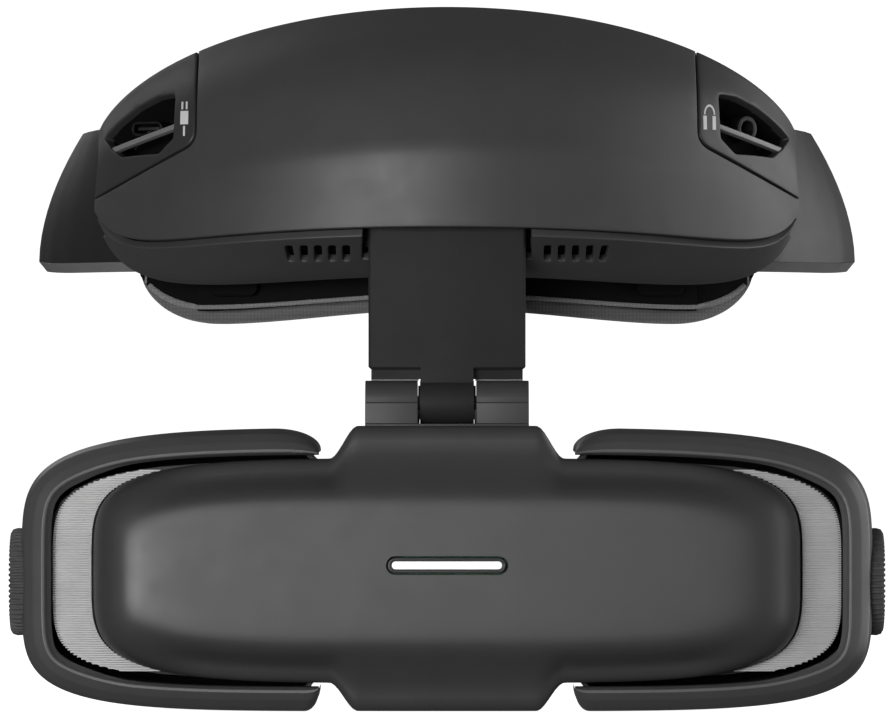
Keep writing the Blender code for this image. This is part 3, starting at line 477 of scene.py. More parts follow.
def prism_body(outline, start, end, axis="Y", centre=(0, 0, 0)):
    """A flat outline of (across, up) points, extruded along an axis."""
    cx, cy, cz = centre

    def lifted(along):
        if axis == "X":
            return [(along + cx, a + cy, u + cz) for a, u in outline]
        if axis == "Y":
            return [(a + cx, along + cy, u + cz) for a, u in outline]
        return [(a + cx, u + cy, along + cz) for a, u in outline]
    return skin_body([lifted(start), lifted(end)])


def merge_bodies(*bodies):
    """One bmesh that holds several closed bodies."""
    whole = bmesh.new()
    for bm in bodies:
        mesh = bpy.data.meshes.new("part")
        bm.to_mesh(mesh)
        bm.free()
        whole.from_mesh(mesh)
        bpy.data.meshes.remove(mesh)
    return whole


def border_distance(points, loops):
    """Each point's distance to the nearest loop, as an array."""
    starts = np.array([p[:2] for loop in loops for p in loop], float)
    ends = np.array([p[:2] for loop in loops for p in loop[1:] + loop[:1]], float)
    spans = ends - starts
    lengths = np.maximum((spans ** 2).sum(1), 1e-12)
    result = []
    for chunk in np.array_split(np.array(points, float), max(1, len(points) // 800)):
        offset = chunk[:, None] - starts[None]
        share = np.clip((offset * spans).sum(2) / lengths, 0, 1)
        result.append(np.sqrt(((offset - share[..., None] * spans) ** 2).sum(2).min(1)))
    return np.concatenate(result)


def inside_loops(points, loops):
    """Which points lie inside an odd number of loops."""
    inside = np.zeros(len(points), bool)
    x, y = np.array(points, float).T
    for loop in loops:
        for (x1, y1), (x2, y2) in zip(loop, loop[1:] + loop[:1]):
            crosses = (y1 > y) != (y2 > y)
            if crosses.any():
                at = (x2 - x1) * (y - y1) / ((y2 - y1) or 1e-12) + x1
                inside ^= crosses & (x < at)
    return inside


def rolled(distance, radius):
    """How far a rolled edge lies below its surface, at a distance from the border."""
    if distance >= radius or radius <= 0:
        return 0.0
    return radius - math.sqrt(max(0.0, radius ** 2 - (radius - distance) ** 2))


def surface_normal(point, a, b, step=0.05):
    along = point(a + step, b) - point(a - step, b)
    down = point(a, b + step) - point(a, b - step)
    return along.cross(down).normalized()


def trimmed_body(point, outline, holes=(), wall=2.0, roll=0.5, spacing=2.0, edge=1.0):
    """A closed sheet on a surface, cut to an outline with holes, with rolled edges.

    point(a, b) gives the surface's place. Its outer side is where the cross product of its two
    directions points. The wall lies under it.
    """
    loops = [[tuple(p) for p in resampled([q[:2] for q in loop], edge)] for loop in (outline, *holes)]
    corners = [p for loop in loops for p in loop]
    edges, base = [], 0
    for loop in loops:
        edges += [(base + i, base + (i + 1) % len(loop)) for i in range(len(loop))]
        base += len(loop)
    extra = []
    for loop in loops:
        for i, here in enumerate(loop):
            before, after = Vector(loop[i - 1]), Vector(loop[(i + 1) % len(loop)])
            tangent = (after - before).normalized()
            for share in (0.06, 0.25, 0.6, 1.05):
                for side in (-1, 1):
                    shift = Vector((-tangent.y, tangent.x)) * side * share * roll
                    extra.append((here[0] + shift.x, here[1] + shift.y))
    low = np.min(corners, 0)
    high = np.max(corners, 0)
    rows = int((high[1] - low[1]) / (spacing * 0.87)) + 1
    columns = int((high[0] - low[0]) / spacing) + 1
    grid = [(low[0] + spacing * (i + 0.5 * (j % 2)), low[1] + spacing * 0.87 * j)
            for j in range(rows + 1) for i in range(columns + 1)]
    far = border_distance(grid, loops)
    grid = [p for p, d in zip(grid, far) if d > roll * 1.05 + edge * 0.45]
    near = border_distance(extra, loops)
    extra = [p for p, d in zip(extra, near) if d > roll * 0.055 and roll > 0]
    points = extra + grid
    kept = inside_loops(points, loops)
    points = corners + [p for p, keep in zip(points, kept) if keep]
    made = geometry.delaunay_2d_cdt([Vector(p) for p in points], edges, [], 0, 1e-4)
    flat = [tuple(p) for p in made[0]]
    triangles = [tuple(face) for face in made[2]]
    centres = [tuple(np.mean([flat[i] for i in face], 0)) for face in triangles]
    triangles = [face for face, keep in zip(triangles, inside_loops(centres, loops)) if keep]
    depths = border_distance(flat, loops)
    bm = bmesh.new()
    outer, inner = {}, {}
    for i in sorted({i for face in triangles for i in face}):
        place, normal = point(*flat[i]), surface_normal(point, *flat[i])
        outer[i] = bm.verts.new(place - normal * rolled(depths[i], roll))
        inner[i] = bm.verts.new(place - normal * wall)
    used = {}
    for face in triangles:
        bm.faces.new([outer[i] for i in face])
        bm.faces.new([inner[i] for i in reversed(face)])
        for i, j in zip(face, face[1:] + face[:1]):
            used[(i, j)] = True
    for i, j in used:
        if (j, i) not in used:
            bm.faces.new((outer[j], outer[i], inner[i], inner[j]))
    bmesh.ops.recalc_face_normals(bm, faces=bm.faces)
    return bm


def refined(node, width, segments=2, material=None):
    """A CAD node's shape with rounded edges, as a new piece in the node's place."""
    source = frame["nodes"][node]
    bm = bmesh.new()
    bm.from_mesh(source.data)
    bmesh.ops.remove_doubles(bm, verts=bm.verts, dist=1e-6)
    bmesh.ops.dissolve_limit(bm, angle_limit=math.radians(1.0), verts=bm.verts, edges=bm.edges)
    corners = [edge for edge in bm.edges if edge.is_manifold and edge.calc_face_angle(0) > math.radians(32)]
    bmesh.ops.bevel(bm, geom=corners, offset=width * MM, segments=segments, profile=0.5,
                    affect="EDGES", clamp_overlap=True)
    for vert in bm.verts:
        vert.co = vert.co / MM - Vector((0, 0, HINGE.z))
    return stand_in(node, bm, material=material)


NODE_SLOTS = {part["node"]: part["material_slot"] for part in frame["record"]["subparts"]}


def body_of(node):
    return frame["nodes"][node]["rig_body"]


def stand_in(node, bm, **settings):
    """A finished piece in the place of one CAD node."""
    return piece(node + "_body", bm, body_of(node), NODE_SLOTS[node], (node,), **settings)


def extra(name, beside, bm, **settings):
    """A finished piece that has no CAD node of its own. It rides with another node."""
    return piece(name, bm, body_of(beside), NODE_SLOTS[beside], **settings)


def ring_body(sections):
    """A closed band through closed sections, the last joined to the first."""
    bm = skin_body([*sections, sections[0]], closed=False)
    bmesh.ops.remove_doubles(bm, verts=bm.verts, dist=1e-5)
    bmesh.ops.recalc_face_normals(bm, faces=bm.faces)
    return bm


def evened(row):
    """A row of control points drawn onto smooth symmetric curves, with more points between them."""
    ends = np.linspace(0, 1, len(row))
    powers = {0: (1, 3, 5), 1: (0, 2, 4, 6), 2: (0, 2, 4, 6)}
    fine = np.linspace(0, 1, 3 * len(row) - 2)
    columns = []
    for axis, kept in powers.items():
        values = np.array([point[axis] for point in row], float)
        known = np.stack([ends ** power for power in kept], 1)
        weight = np.where((ends == 0) | (ends == 1), 4.0, 1.0)
        factors = np.linalg.lstsq(known * weight[:, None], values * weight, rcond=None)[0]
        columns.append(np.stack([fine ** power for power in kept], 1) @ factors)
    return [tuple(float(value) for value in point) for point in zip(*columns)]


def lofted_surface(rows, width, length):
    """point(a, b) on a smooth surface through rows of right-half control points, about in mm."""
    whole = [both_sides(evened(row)) for row in rows]

    def point(a, b):
        across = [spline_point(row, a / width + 0.5) for row in whole]
        return spline_point(across, 1 - b / length)
    return point


def find_place(point, start, target, axes=(0, 2)):
    """The (a, b) at which two coordinates of a surface point have given values, by Newton steps."""
    a, b = start
    i, j = axes
    for _ in range(14):
        here = point(a, b)
        da, db = (point(a + 0.2, b) - here) / 0.2, (point(a, b + 0.2) - here) / 0.2
        off_i, off_j = target[0] - here[i], target[1] - here[j]
        det = da[i] * db[j] - da[j] * db[i]
        if abs(det) < 1e-6:
            break
        a += max(-8, min(8, (off_i * db[j] - off_j * db[i]) / det))
        b += max(-8, min(8, (off_j * da[i] - off_i * da[j]) / det))
    return a, b


def on_surface(point, outline, guess):
    """Front-view (x, z) points as (a, b) places, each found from the one before."""
    places, at = [], guess
    for target in outline:
        at = find_place(point, at, target)
        places.append(at)
    return places


def offset_surface(point, distance):
    return lambda a, b: point(a, b) + surface_normal(point, a, b) * distance


def flipped(loop, side):
    return [(side * a, b) for a, b in loop]


# ---------------------------------------------------------------- forehead unit

# Control points of the right half, from the middle outwards, as (x, y, height)
TOP_EDGE = [(0, -20, 87.7), (20.5, -18, 86.9), (41.3, -10.5, 83.3), (59.4, -0.5, 77.0),
            (71.3, 8.5, 69.6), (79.2, 17, 60.5)]
CROWN = [(0, -38, 74.4), (20.3, -36, 73.8), (40.8, -27.5, 70.7), (58.6, -14, 65.6),
         (70.5, -2, 60.3), (78.8, 10, 54.9)]
RIDGE = [(0, -46.5, 55.7), (22.2, -43.5, 54.5), (41.7, -34, 52.7), (57.3, -21.5, 50.0),
         (70.3, -7, 47.2), (79.4, 7, 45.7)]
LIP = [(0, -47, 38.3), (22.2, -44, 37.9), (41.6, -35.5, 37.2), (58.3, -23.5, 36.2),
       (71.2, -9, 36.5), (79.4, 5, 42.8)]
COVER_LIP = [(0, -46, 36.5), (22.2, -43, 36.1), (41.6, -34.5, 35.4), (58.3, -22.5, 34.4),
             (70.9, -8.2, 34.7), (78.8, 6.2, 41.0)]
VENT_EDGE = [(0, -31, 28.6), (22.4, -28.5, 28.5), (42.0, -20.5, 27.4), (58.8, -10, 26.5),
             (70.6, 1, 30.2), (77.2, 10, 37.7)]
LOWER_BACK = [(0, -18.8, 28.0), (22.6, -16.2, 27.8), (42.3, -8.8, 26.8), (59.2, 0.6, 26.2),
              (71.0, 9.7, 29.9), (78.0, 17.4, 37.3)]
REAR_WALL_LINE = [(0, -18.2, 0), (20.5, -16.2, 0), (41.2, -8.4, 0), (59.1, 2.6, 0),
                  (70.9, 12.0, 0), (78.8, 20.8, 0)]

FRONT_WIDTH, FRONT_LENGTH, FRONT_WALL = 196.0, 60.0, 2.2
CREASE_PLACE = FRONT_LENGTH / 3  # the ridge row's place
CREASE_RISE, CREASE_REACH, CREASE_FILLET = 1.1, 6.5, 0.8
smooth_front = lofted_surface([TOP_EDGE, CROWN, RIDGE, LIP], FRONT_WIDTH, FRONT_LENGTH)


def front_surface(a, b):
    """The housing's front, with a soft crease that runs across it and fades out before its ends."""
    away = math.hypot(b - CREASE_PLACE, CREASE_FILLET) - CREASE_FILLET
    fade = 1 - smooth_step((abs(a) / (FRONT_WIDTH / 2) - 0.5) / 0.45)
    return smooth_front(a, b) - Vector((0, CREASE_RISE * fade * math.exp(-away / CREASE_REACH), 0))


def end_place(height_wanted):
    """The b of the front surface's right end at a height."""
    low, high = 0.0, FRONT_LENGTH
    for _ in range(30):
        middle = (low + high) / 2
        if front_surface(FRONT_WIDTH / 2, middle).z < height_wanted:
            low = middle
        else:
            high = middle
    return low


def seam_line(gap):
    """The right seam between shell and port bezel, from the top edge to the end, as (a, b)."""
    x = 56.0 - gap
    corner = (x, 57.7 - 1.2 * gap, 4.5)
    turn = rounded_path([(x, 76.5), corner, (78.6, 46.2 - 1.2 * gap)], 0, 6, closed=False)
    dense = []
    for start, end in zip(turn, turn[1:]):
        count = max(1, round((end - start).length / 1.5))
        dense += [start.lerp(end, k / count) for k in range(count)]
    places = on_surface(front_surface, dense + [turn[-1]], (66, 50))
    return [(places[0][0], FRONT_LENGTH)] + places + [(FRONT_WIDTH / 2, end_place(45.8 - 1.2 * gap))]


def edge_row(start, end, b):
    count = max(2, int(abs(end - start) / 2.5))
    return [(start + (end - start) * k / count, b) for k in range(1, count)]


def housing_front():
    seam = seam_line(0.4)
    right = seam + [(FRONT_WIDTH / 2, 0)]
    left = flipped(right, -1)[::-1]
    outline = right + edge_row(FRONT_WIDTH / 2, -FRONT_WIDTH / 2, 0) + left
    outline += edge_row(-seam[0][0], seam[0][0], FRONT_LENGTH)
    bm = trimmed_body(front_surface, outline, wall=FRONT_WALL, roll=0.45, spacing=2.6, edge=1.4)
    stand_in("housing_front_shell", bm)


PORT_OPENING = [(60.6, 68.8, 0.9), (64.7, 68.3, 1.5), (69.6, 65.9, 3), (74.5, 62.1, 3), (77.3, 59.2, 0.8),
                (75.4, 56.6, 1), (73.1, 54.7, 1.2), (64.2, 55.2, 1.5), (60.9, 58.6, 1.5)]
PORT_BAR = [(60.7, 62.1), (60.7, 61.0), (76.1, 55.8), (76.4, 56.9)]


def pictogram(shape):
    """A flat generic sign printed beside a port: a plug, or a pair of headphones."""
    if shape == "plug":
        return [[(57.4, 61.6), (59.2, 61.6), (59.2, 64.6), (57.4, 64.6)],
                [(57.6, 65.0), (58.0, 65.0), (58.0, 66.7), (57.6, 66.7)],
                [(58.6, 65.0), (59.0, 65.0), (59.0, 66.7), (58.6, 66.7)],
                [(58.1, 59.0), (58.5, 59.0), (58.5, 61.2), (58.1, 61.2)]]
    band = []
    for radius, sign in ((2.3, 1), (1.8, -1)):
        row = [(58.3 + 0.55 * radius * math.cos(angle), 63.8 + radius * math.sin(angle))
               for angle in (math.pi * k / 10 for k in range(11))]
        band += row[::sign]
    cups = [[(x, 60.4), (x + 0.75, 60.4), (x + 0.75, 63.5), (x, 63.5)] for x in (56.85, 58.95)]
    return [band] + cups


def port_bezels():
    seam = seam_line(0.0)
    count = 10
    top = [(FRONT_WIDTH / 2 + (seam[0][0] - FRONT_WIDTH / 2) * k / count, FRONT_LENGTH)
           for k in range(count)]
    outline = seam + top
    rounded = [tuple(p) for p in rounded_path(PORT_OPENING, 1.0, 4)]
    opening = on_surface(front_surface, rounded, (75, 42))
    bar = on_surface(front_surface, resampled(PORT_BAR, 1.2), (75, 38))
    for side, label in SIDES:
        node = "port_bezel_" + label
        loop, hole = flipped(outline, side), flipped(opening, side)
        bm = trimmed_body(front_surface, loop, (hole,), wall=FRONT_WALL, roll=0.4, spacing=1.8, edge=1.0)
        # the bezels take the darker plastic, which paints the shade they lie in
        stand_in(node, bm, material="bezel_plastic_painted_shade")
        middle = Vector(np.mean(hole, 0))
        grown = [tuple(middle + (Vector(p) - middle) * 1.03) for p in hole]
        walls = []
        for depth, loop in ((1.6, grown), (8.6, grown), (8.6, hole), (1.6, hole)):
            walls.append([offset_surface(front_surface, -depth)(*p) for p in loop])
        tub = ring_body(walls)
        floor = trimmed_body(offset_surface(front_surface, -7.6), grown, wall=1.0, roll=0, spacing=2.5)
        extra("port_tub_" + label, node, merge_bodies(tub, floor), material="deep_black")
        strip = trimmed_body(offset_surface(front_surface, -0.5), flipped(bar, side), wall=1.2, roll=0.2,
                             spacing=1.5, edge=0.6)
        extra("port_bar_" + label, node, strip, material="grey_trim_and_highlight")
        shape = "plug" if side < 0 else "headphones"
        raised = offset_surface(front_surface, 0.06)
        flats = [trimmed_body(raised, flipped(on_surface(front_surface, part, (72, 42)), side),
                              wall=0.12, roll=0, spacing=1.0, edge=0.8) for part in pictogram(shape)]
        extra("port_sign_" + label, node, merge_bodies(*flats), material="white_print")


COVER_LENGTH = 30.0
cover_surface = lofted_surface([COVER_LIP, VENT_EDGE, LOWER_BACK], FRONT_WIDTH, COVER_LENGTH)


def vent_outlines():
    """Five upright slots each side of the plate. The outermost leans a little."""
    loops = []
    for side in (-1, 1):
        for slot in range(5):
            x = 22.1 + 3.1 * slot
            lean = 0.35 if slot == 4 else 0.0
            corners = [(x - 0.85 - lean, 30.95), (x + 0.85 - lean, 30.95),
                       (x + 0.85 + lean, 34.3), (x - 0.85 + lean, 34.3)]
            rounded = [tuple(p) for p in rounded_path(corners, 0.55, 3)]
            loops.append(flipped(on_surface(cover_surface, rounded, (x * 1.15, 22)), side))
    return loops


def housing_lower():
    half = FRONT_WIDTH / 2
    notch = [find_place(cover_surface, (x * 1.1, 18), (x, -35.6), (0, 1)) for x in (18.6, 12.0, 6.0, 0.0)]
    lip_a = find_place(cover_surface, (20, 27), (18.6, 35.6))[0]
    right = [(lip_a, COVER_LENGTH)] + notch
    notch_line = right + flipped(right[:-1], -1)[::-1]
    outline = notch_line + edge_row(-lip_a, -half, COVER_LENGTH)
    outline += [(-half, COVER_LENGTH), (-half, COVER_LENGTH / 2), (-half, 0)] + edge_row(-half, half, 0)
    outline += [(half, 0), (half, COVER_LENGTH / 2), (half, COVER_LENGTH)]
    outline += edge_row(half, lip_a, COVER_LENGTH)
    bm = trimmed_body(cover_surface, outline, vent_outlines(), wall=1.8, roll=0.3, spacing=2.4, edge=1.0)
    stand_in("housing_lower_cover", bm)
    # Near-black sheets behind the vent slots: painted shade inside the housing.
    shade_sheets = []
    for side in (-1, 1):
        corners = [(19.8, 30.4), (37.0, 30.2), (37.0, 35.0), (19.8, 35.3)]
        loop = flipped(on_surface(cover_surface, corners, (24, 22)), side)
        shade_sheets.append(trimmed_body(offset_surface(cover_surface, -2.6), loop, wall=0.6, roll=0))
    extra("vent_shade_sheets", "housing_lower_cover", merge_bodies(*shade_sheets), material="deep_black")


def rounded_section(corners, radius, steps=3):
    """A polygon section, (across, up), with rounded corners."""
    return [tuple(p) for p in rounded_path(corners, radius, steps)]


ARM_SCREW_X, ARM_SCREW_Z = 66.0, 45.0


def arm_screw_place(side):
    return side * ARM_SCREW_X, read_row(REAR_WALL_LINE, ARM_SCREW_X).y, ARM_SCREW_Z


def screw_hole(side):
    profile = [(-6, 0), (-6, 1.9), (12, 1.9), (12, 0)]
    return cutter(turned_body(profile, 40, centre=arm_screw_place(side)))


def rear_wall():
    sections = []
    steps = 90
    for i in range(steps + 1):
        x = 78.4 * (2 * i / steps - 1)
        front = read_row(REAR_WALL_LINE, x).y
        low, high = read_row(LOWER_BACK, x).z + 2.4, read_row(TOP_EDGE, x).z - 0.4
        corners = [(front, low), (front + 2.0, low), (front + 2.0, high), (front, high)]
        sections.append([(x, y, z) for y, z in rounded_section(corners, 0.6)])
    wall = stand_in("housing_rear_wall", skin_body(sections))
    shaped(wall, *(screw_hole(side) for side in (-1, 1)))


def add_chips(name, board, front, back, places, bevel_segments=3):
    """Chips on a board. A place is (x, z, half width, half height)."""
    chips = [box_body((x - w, x + w), (front, back), (z - h, z + h)) for x, z, w, h in places]
    shaped(extra(name, board, merge_bodies(*chips), material="black_plastic"), bevel=0.2,
           segments=bevel_segments)


def inner_board():
    """The main board with its chips, the heat sink, the plate guide and the two sockets."""
    refined("main_board", 0.2, 1)
    add_chips("board_chips", "main_board", -26.2, -25.1,
              ((-30, 58, 4, 4), (-29, 44, 5, 3), (29, 57, 4.5, 4.5), (30, 43, 3.5, 3.5), (0, 38, 6, 2)), 2)
    refined("heat_sink", 0.25)
    refined("plate_guide", 0.5)
    refined("usb_c_socket", 0.12, material="dark_steel")
    refined("earphone_socket", 0.2)
    tongue = box_body((-3.1, 3.1), (-1.9, 2.0), (-0.35, 0.35))
    turn = math.radians(-38)
    for vert in tongue.verts:
        x, y, z = vert.co
        vert.co = (x * math.cos(turn) - y * math.sin(turn) - 65.8,
                   x * math.sin(turn) + y * math.cos(turn) + 3.3, z + 61.2)
    shaped(extra("usb_c_tongue", "usb_c_socket", tongue, material="black_plastic"), bevel=0.1)


# ---------------------------------------------------------------- pads and band

CUSHION_R, CUSHION_DEPTH, CARRIER_DEPTH = 85.0, 9.0, 3.0
CUSHION_HALF_ANGLE = math.radians(49)
ARC_CENTRE = CUSHION_R * math.cos(CUSHION_HALF_ANGLE / 15)


def cushion_low(angle):
    share = abs(angle) / CUSHION_HALF_ANGLE
    end = min(1.0, max(0.0, share - 0.7) / 0.3)
    return 20.6 - 3.2 * smooth_step(share / 0.72) + 13.0 * (1 - math.sqrt(1 - end ** 2))


def cushion_high(angle):
    share = abs(angle) / CUSHION_HALF_ANGLE
    return 71.9 - 4.0 * share ** 2 - 10.0 * smooth_step((share - 0.7) / 0.3)


def on_arc(radius, angle, z):
    return Vector((radius * math.sin(angle), ARC_CENTRE - radius * math.cos(angle), z))


def pad_section(front, back, bottom, top, corner, crown):
    """A pad's section as (depth, height): rounded corners and crowned faces."""
    rect = [(front + crown, bottom), (back - crown, bottom), (back - crown, top), (front + crown, top)]
    arcs = rounded_path(rect, corner, 6)
    points = []
    for k in range(4):
        arc = arcs[7 * k:7 * k + 7]
        following = arcs[(7 * k + 7) % 28]
        between = 3 if k % 2 == 0 else 18
        points += arc + [arc[-1].lerp(following, j / between) for j in range(1, between)]
    middle, half = (bottom + top) / 2, (top - bottom) / 2
    centre, thick = (front + back) / 2, (back - front) / 2 - crown
    return [(d + crown * (1 - ((z - middle) / half) ** 2) * (d - centre) / thick, z) for d, z in points]


def end_share(i, columns):
    """A share from -1 to 1 along a pad, with finer steps towards its ends."""
    return math.sin(math.pi / 2 * (2 * i / columns - 1))


def pad_sections(columns, place, low, high, front, back, sink):
    """Sections of a padded form. place(share, depth, z) puts a point; sink(share, rise) pulls in seams."""
    sections = []
    for i in range(columns + 1):
        share = end_share(i, columns)
        end = max(0.0, (abs(share) - 0.965) / 0.035)
        squeeze = math.sqrt(1 - 0.45 * end ** 2)
        centre, thick = (front + back) / 2, (back - front) / 2 * squeeze
        bottom, top = low(share), high(share)
        section = []
        near, far = centre - thick, centre + thick
        for depth, z in pad_section(near, far, bottom, top, 2.6 * squeeze, 0.9 * squeeze):
            rise = (z - (bottom + top) / 2) / ((top - bottom) / 2)
            pull = sink(share, rise) * (depth - centre) / thick
            section.append(place(share, depth - pull, z))
        sections.append(section)
    return sections


CHANNELS = (-0.62, -0.31, 0.0, 0.31, 0.62)  # sewn lines across the cushion, as shares of its length
SEAM_WIDTH = 0.022


def cushion_sink(share, rise):
    """How deep the sewn lines pull the cushion in."""
    deep = 0.0
    for line in CHANNELS:
        deep = max(deep, math.exp(-((share - line) / SEAM_WIDTH) ** 2))
    return 1.1 * deep * smooth_step((1 - abs(rise)) / 0.12)


CLOTH_PRESSURE, MOST_SWELL = 4.0, 1.2


def inflate(obj, pinned):
    """Lets cloth simulation fill a pad, keeps its seams pinned, and applies the result."""
    before = [vert.co.copy() for vert in obj.data.vertices]
    group = obj.vertex_groups.new(name="seams")
    for i in pinned:
        group.add([i], 1.0, "REPLACE")
    modifier = obj.modifiers.new("cloth", "CLOTH")
    settings = modifier.settings
    settings.quality = 5
    settings.mass = 0.2
    settings.tension_stiffness = settings.compression_stiffness = 40
    settings.shear_stiffness = 20
    settings.bending_stiffness = 2
    settings.use_pressure = True
    settings.uniform_pressure_force = CLOTH_PRESSURE
    settings.effector_weights.gravity = 0
    settings.vertex_group_mass = "seams"
    modifier.collision_settings.use_collision = False
    modifier.point_cache.frame_start, modifier.point_cache.frame_end = 1, 20
    scene = bpy.context.scene
    for step in range(1, 21):
        scene.frame_set(step)
    shape = obj.evaluated_get(bpy.context.evaluated_depsgraph_get()).to_mesh()
    after = [vert.co.copy() for vert in shape.vertices]
    obj.evaluated_get(bpy.context.evaluated_depsgraph_get()).to_mesh_clear()
    obj.modifiers.remove(modifier)
    for vert, old, new in zip(obj.data.vertices, before, after):
        move = new - old
        if move.length > MOST_SWELL * MM:
            move *= MOST_SWELL * MM / move.length
        vert.co = old + move
    obj.vertex_groups.clear()
    scene.frame_set(1)


def tube_along(points, radius, closed=False):
    """A round cord along points."""
    sides = 10
    sections = []
    count = len(points)
    for i, point in enumerate(points):
        before = points[i - 1] if closed or i else points[0]
        after = points[(i + 1) % count] if closed or i < count - 1 else points[-1]
        ahead = (Vector(after) - Vector(before)).normalized()
        across = ahead.cross(Vector((0, 0, 1)))
        if across.length < 0.2:
            across = ahead.cross(Vector((0, 1, 0)))
        across.normalize()
        up = across.cross(ahead)
        sections.append([Vector(point) + (across * math.cos(a) + up * math.sin(a)) * radius
                         for a in (2 * math.pi * k / sides for k in range(sides))])
    return ring_body(sections) if closed else skin_body(sections)


def forehead_pad():
    def place(share, depth, z):
        return on_arc(depth, share * CUSHION_HALF_ANGLE, z)

    def low(share):
        return cushion_low(share * CUSHION_HALF_ANGLE)

    def high(share):
        return cushion_high(share * CUSHION_HALF_ANGLE)

    columns = 150
    sections = pad_sections(columns, place, low, high, CUSHION_R, CUSHION_R + CUSHION_DEPTH, cushion_sink)
    cushion = stand_in("forehead_cushion", skin_body(sections), sharp=80)
    count = len(sections[0])
    pinned = []
    for i, section in enumerate(sections):
        on_seam = any(abs(end_share(i, columns) - line) < SEAM_WIDTH * 0.8 for line in CHANNELS)
        for k in range(count):
            depth = (section[k] - Vector((0, ARC_CENTRE, section[k].z))).length
            edge_band = abs(depth - CUSHION_R - CUSHION_DEPTH / 2) < 2.2
            if on_seam or edge_band or i in (0, columns):
                pinned.append(i * count + k)
    inflate(cushion, pinned)
    cord = []
    for k in range(160):
        share = -0.95 + 1.9 * k / 159
        cord.append(on_arc(CUSHION_R + CUSHION_DEPTH - 0.3, share * CUSHION_HALF_ANGLE, low(share) + 3.6))
    for k in range(160):
        share = 0.95 - 1.9 * k / 159
        cord.append(on_arc(CUSHION_R + CUSHION_DEPTH - 0.3, share * CUSHION_HALF_ANGLE, high(share) - 3.2))
    piping = tube_along(cord, 0.55, closed=True)
    extra("cushion_piping", "forehead_cushion", piping, material="piping", sharp=80)
    # A near-black sheet over the cushion's front face: painted shade where the housing shadows the pad.
    sections = []
    for i in range(121):
        share = 0.975 * math.sin(math.pi / 2 * (2 * i / 120 - 1))
        near, far = CUSHION_R + CUSHION_DEPTH - 0.6, CUSHION_R + CUSHION_DEPTH + 0.1
        bottom, top = low(share) + 3.4, high(share) - 3.0
        corners = [(near, bottom), (far, bottom), (far, top), (near, top)]
        sections.append([place(share, depth, z) for depth, z in corners])
    extra("cushion_front_shade", "forehead_cushion", skin_body(sections), material="deep_black")

    front = CUSHION_R + CUSHION_DEPTH + 0.4
    carrier_front = front + CARRIER_DEPTH
    sections = []
    for i in range(101):
        angle = CUSHION_HALF_ANGLE * 0.72 * (2 * i / 100 - 1)
        bottom, top = cushion_low(angle) + 2.9, cushion_high(angle) - 2.5
        corners = [(front, bottom), (carrier_front, bottom), (carrier_front, top), (front, top)]
        sections.append([on_arc(r, angle, z) for r, z in rounded_section(corners, 0.8)])
    # the carrier is near-black: painted shade in the gap under the housing
    stand_in("pad_carrier", skin_body(sections), material="deep_black")
    cord = []
    for k in range(161):
        share = 0.93 * (2 * k / 160 - 1)
        on_carrier = 1 - smooth_step((abs(share) - 0.70) / 0.08)
        radius = front - 0.1 + (CARRIER_DEPTH + 0.2) * on_carrier
        cord.append(on_arc(radius, share * CUSHION_HALF_ANGLE, low(share) + 3.2 + 1.2 * share ** 2))
    extra("carrier_piping", "pad_carrier", tube_along(cord, 0.5), material="piping", sharp=80)
    for side, label in SIDES:
        sections = []
        for step in range(25):
            x = 42.5 + 10.4 * step / 24
            near = read_row(REAR_WALL_LINE, x).y + 2.4
            far = ARC_CENTRE - math.sqrt(carrier_front ** 2 - x ** 2) - 0.4
            pinch = 1.6 * (1 - math.sqrt(1 - max(0, abs(2 * step / 24 - 1) - 0.7) ** 2 / 0.1))
            corners = [(near, 23.6 + pinch), (far, 23.6 + pinch), (far, 40.0 - pinch), (near, 40.0 - pinch)]
            sections.append([(side * x, y, z) for y, z in rounded_section(corners, 1.2)])
        # the bosses are near-black: painted shade in the gap under the housing
        stand_in("pad_boss_" + label, skin_body(sections), material="deep_black")


ARM_PATH = [(58.5, 0, 0), (64, 0, 0), (70, 0, 0), (75.5, 0, 0.02), (80.5, 27, 0.22), (86.5, 37, 0.6),
            (91.5, 48, 0.88), (94.6, 60, 1.0), (95.6, 75, 1.0), (95.6, 100, 1.0), (95.6, 130, 1.0)]
ARM_THICKNESS, ARM_LOW, ARM_HIGH = 2.6, 29.3, 62.0
STRAP_THICKNESS, LINER_THICKNESS = 1.8, 1.4
STRAP_PATH = [(95.6, 84, 1.0), (95.6, 112, 1.0), (95.6, 140, 1.0), (94.6, 149, 0.92), (91.2, 159.5, 0.72),
              (85.0, 170, 0.46), (76.0, 180, 0.25), (64.8, 188.6, 0.1), (53.8, 194.8, 0.02),
              (43.5, 198.8, 0), (39.5, 199.3, 0), (35.2, 200.5, 0)]


def lean_at(z):
    """How far the band leans in above its lower edge."""
    return 10.4 * max(0.0, (z - 32.5) / 30.0) ** 1.8


def plan_stations(path):
    """The stations with each y of 0 put just behind the housing's rear wall."""
    return [(x, y or read_row(REAR_WALL_LINE, x).y + 2.6, share) for x, y, share in path]


def smooth_stations(stations, per_span):
    """The stations on straight lines between the CAD's own, so that the surface stays inside its box."""
    dense = []
    for first, second in zip(stations, stations[1:]):
        dense += [Vector(first).lerp(Vector(second), k / per_span) for k in range(per_span)]
    dense.append(Vector(stations[-1]))
    for _ in range(3):
        inner = [(dense[i - 1] + 2 * dense[i] + dense[i + 1]) / 4 for i in range(1, len(dense) - 1)]
        dense = [dense[0]] + inner + [dense[-1]]
    return dense


def strip_profile(bottom, top, thickness, chamfer=(0.0, 0.0), corner=0.5):
    """A strip's section as (depth, height), with a chamfered lower outer edge and rounded corners."""
    rows = 10
    points = [(chamfer[0], bottom)] if chamfer[0] else []
    points += [(0.0, bottom + chamfer[1] + (top - bottom - chamfer[1]) * k / rows) for k in range(rows + 1)]
    points += [(thickness, z) for _, z in reversed(points[1:])] + [(thickness, bottom)]
    return rounded_path(points, corner, 3)


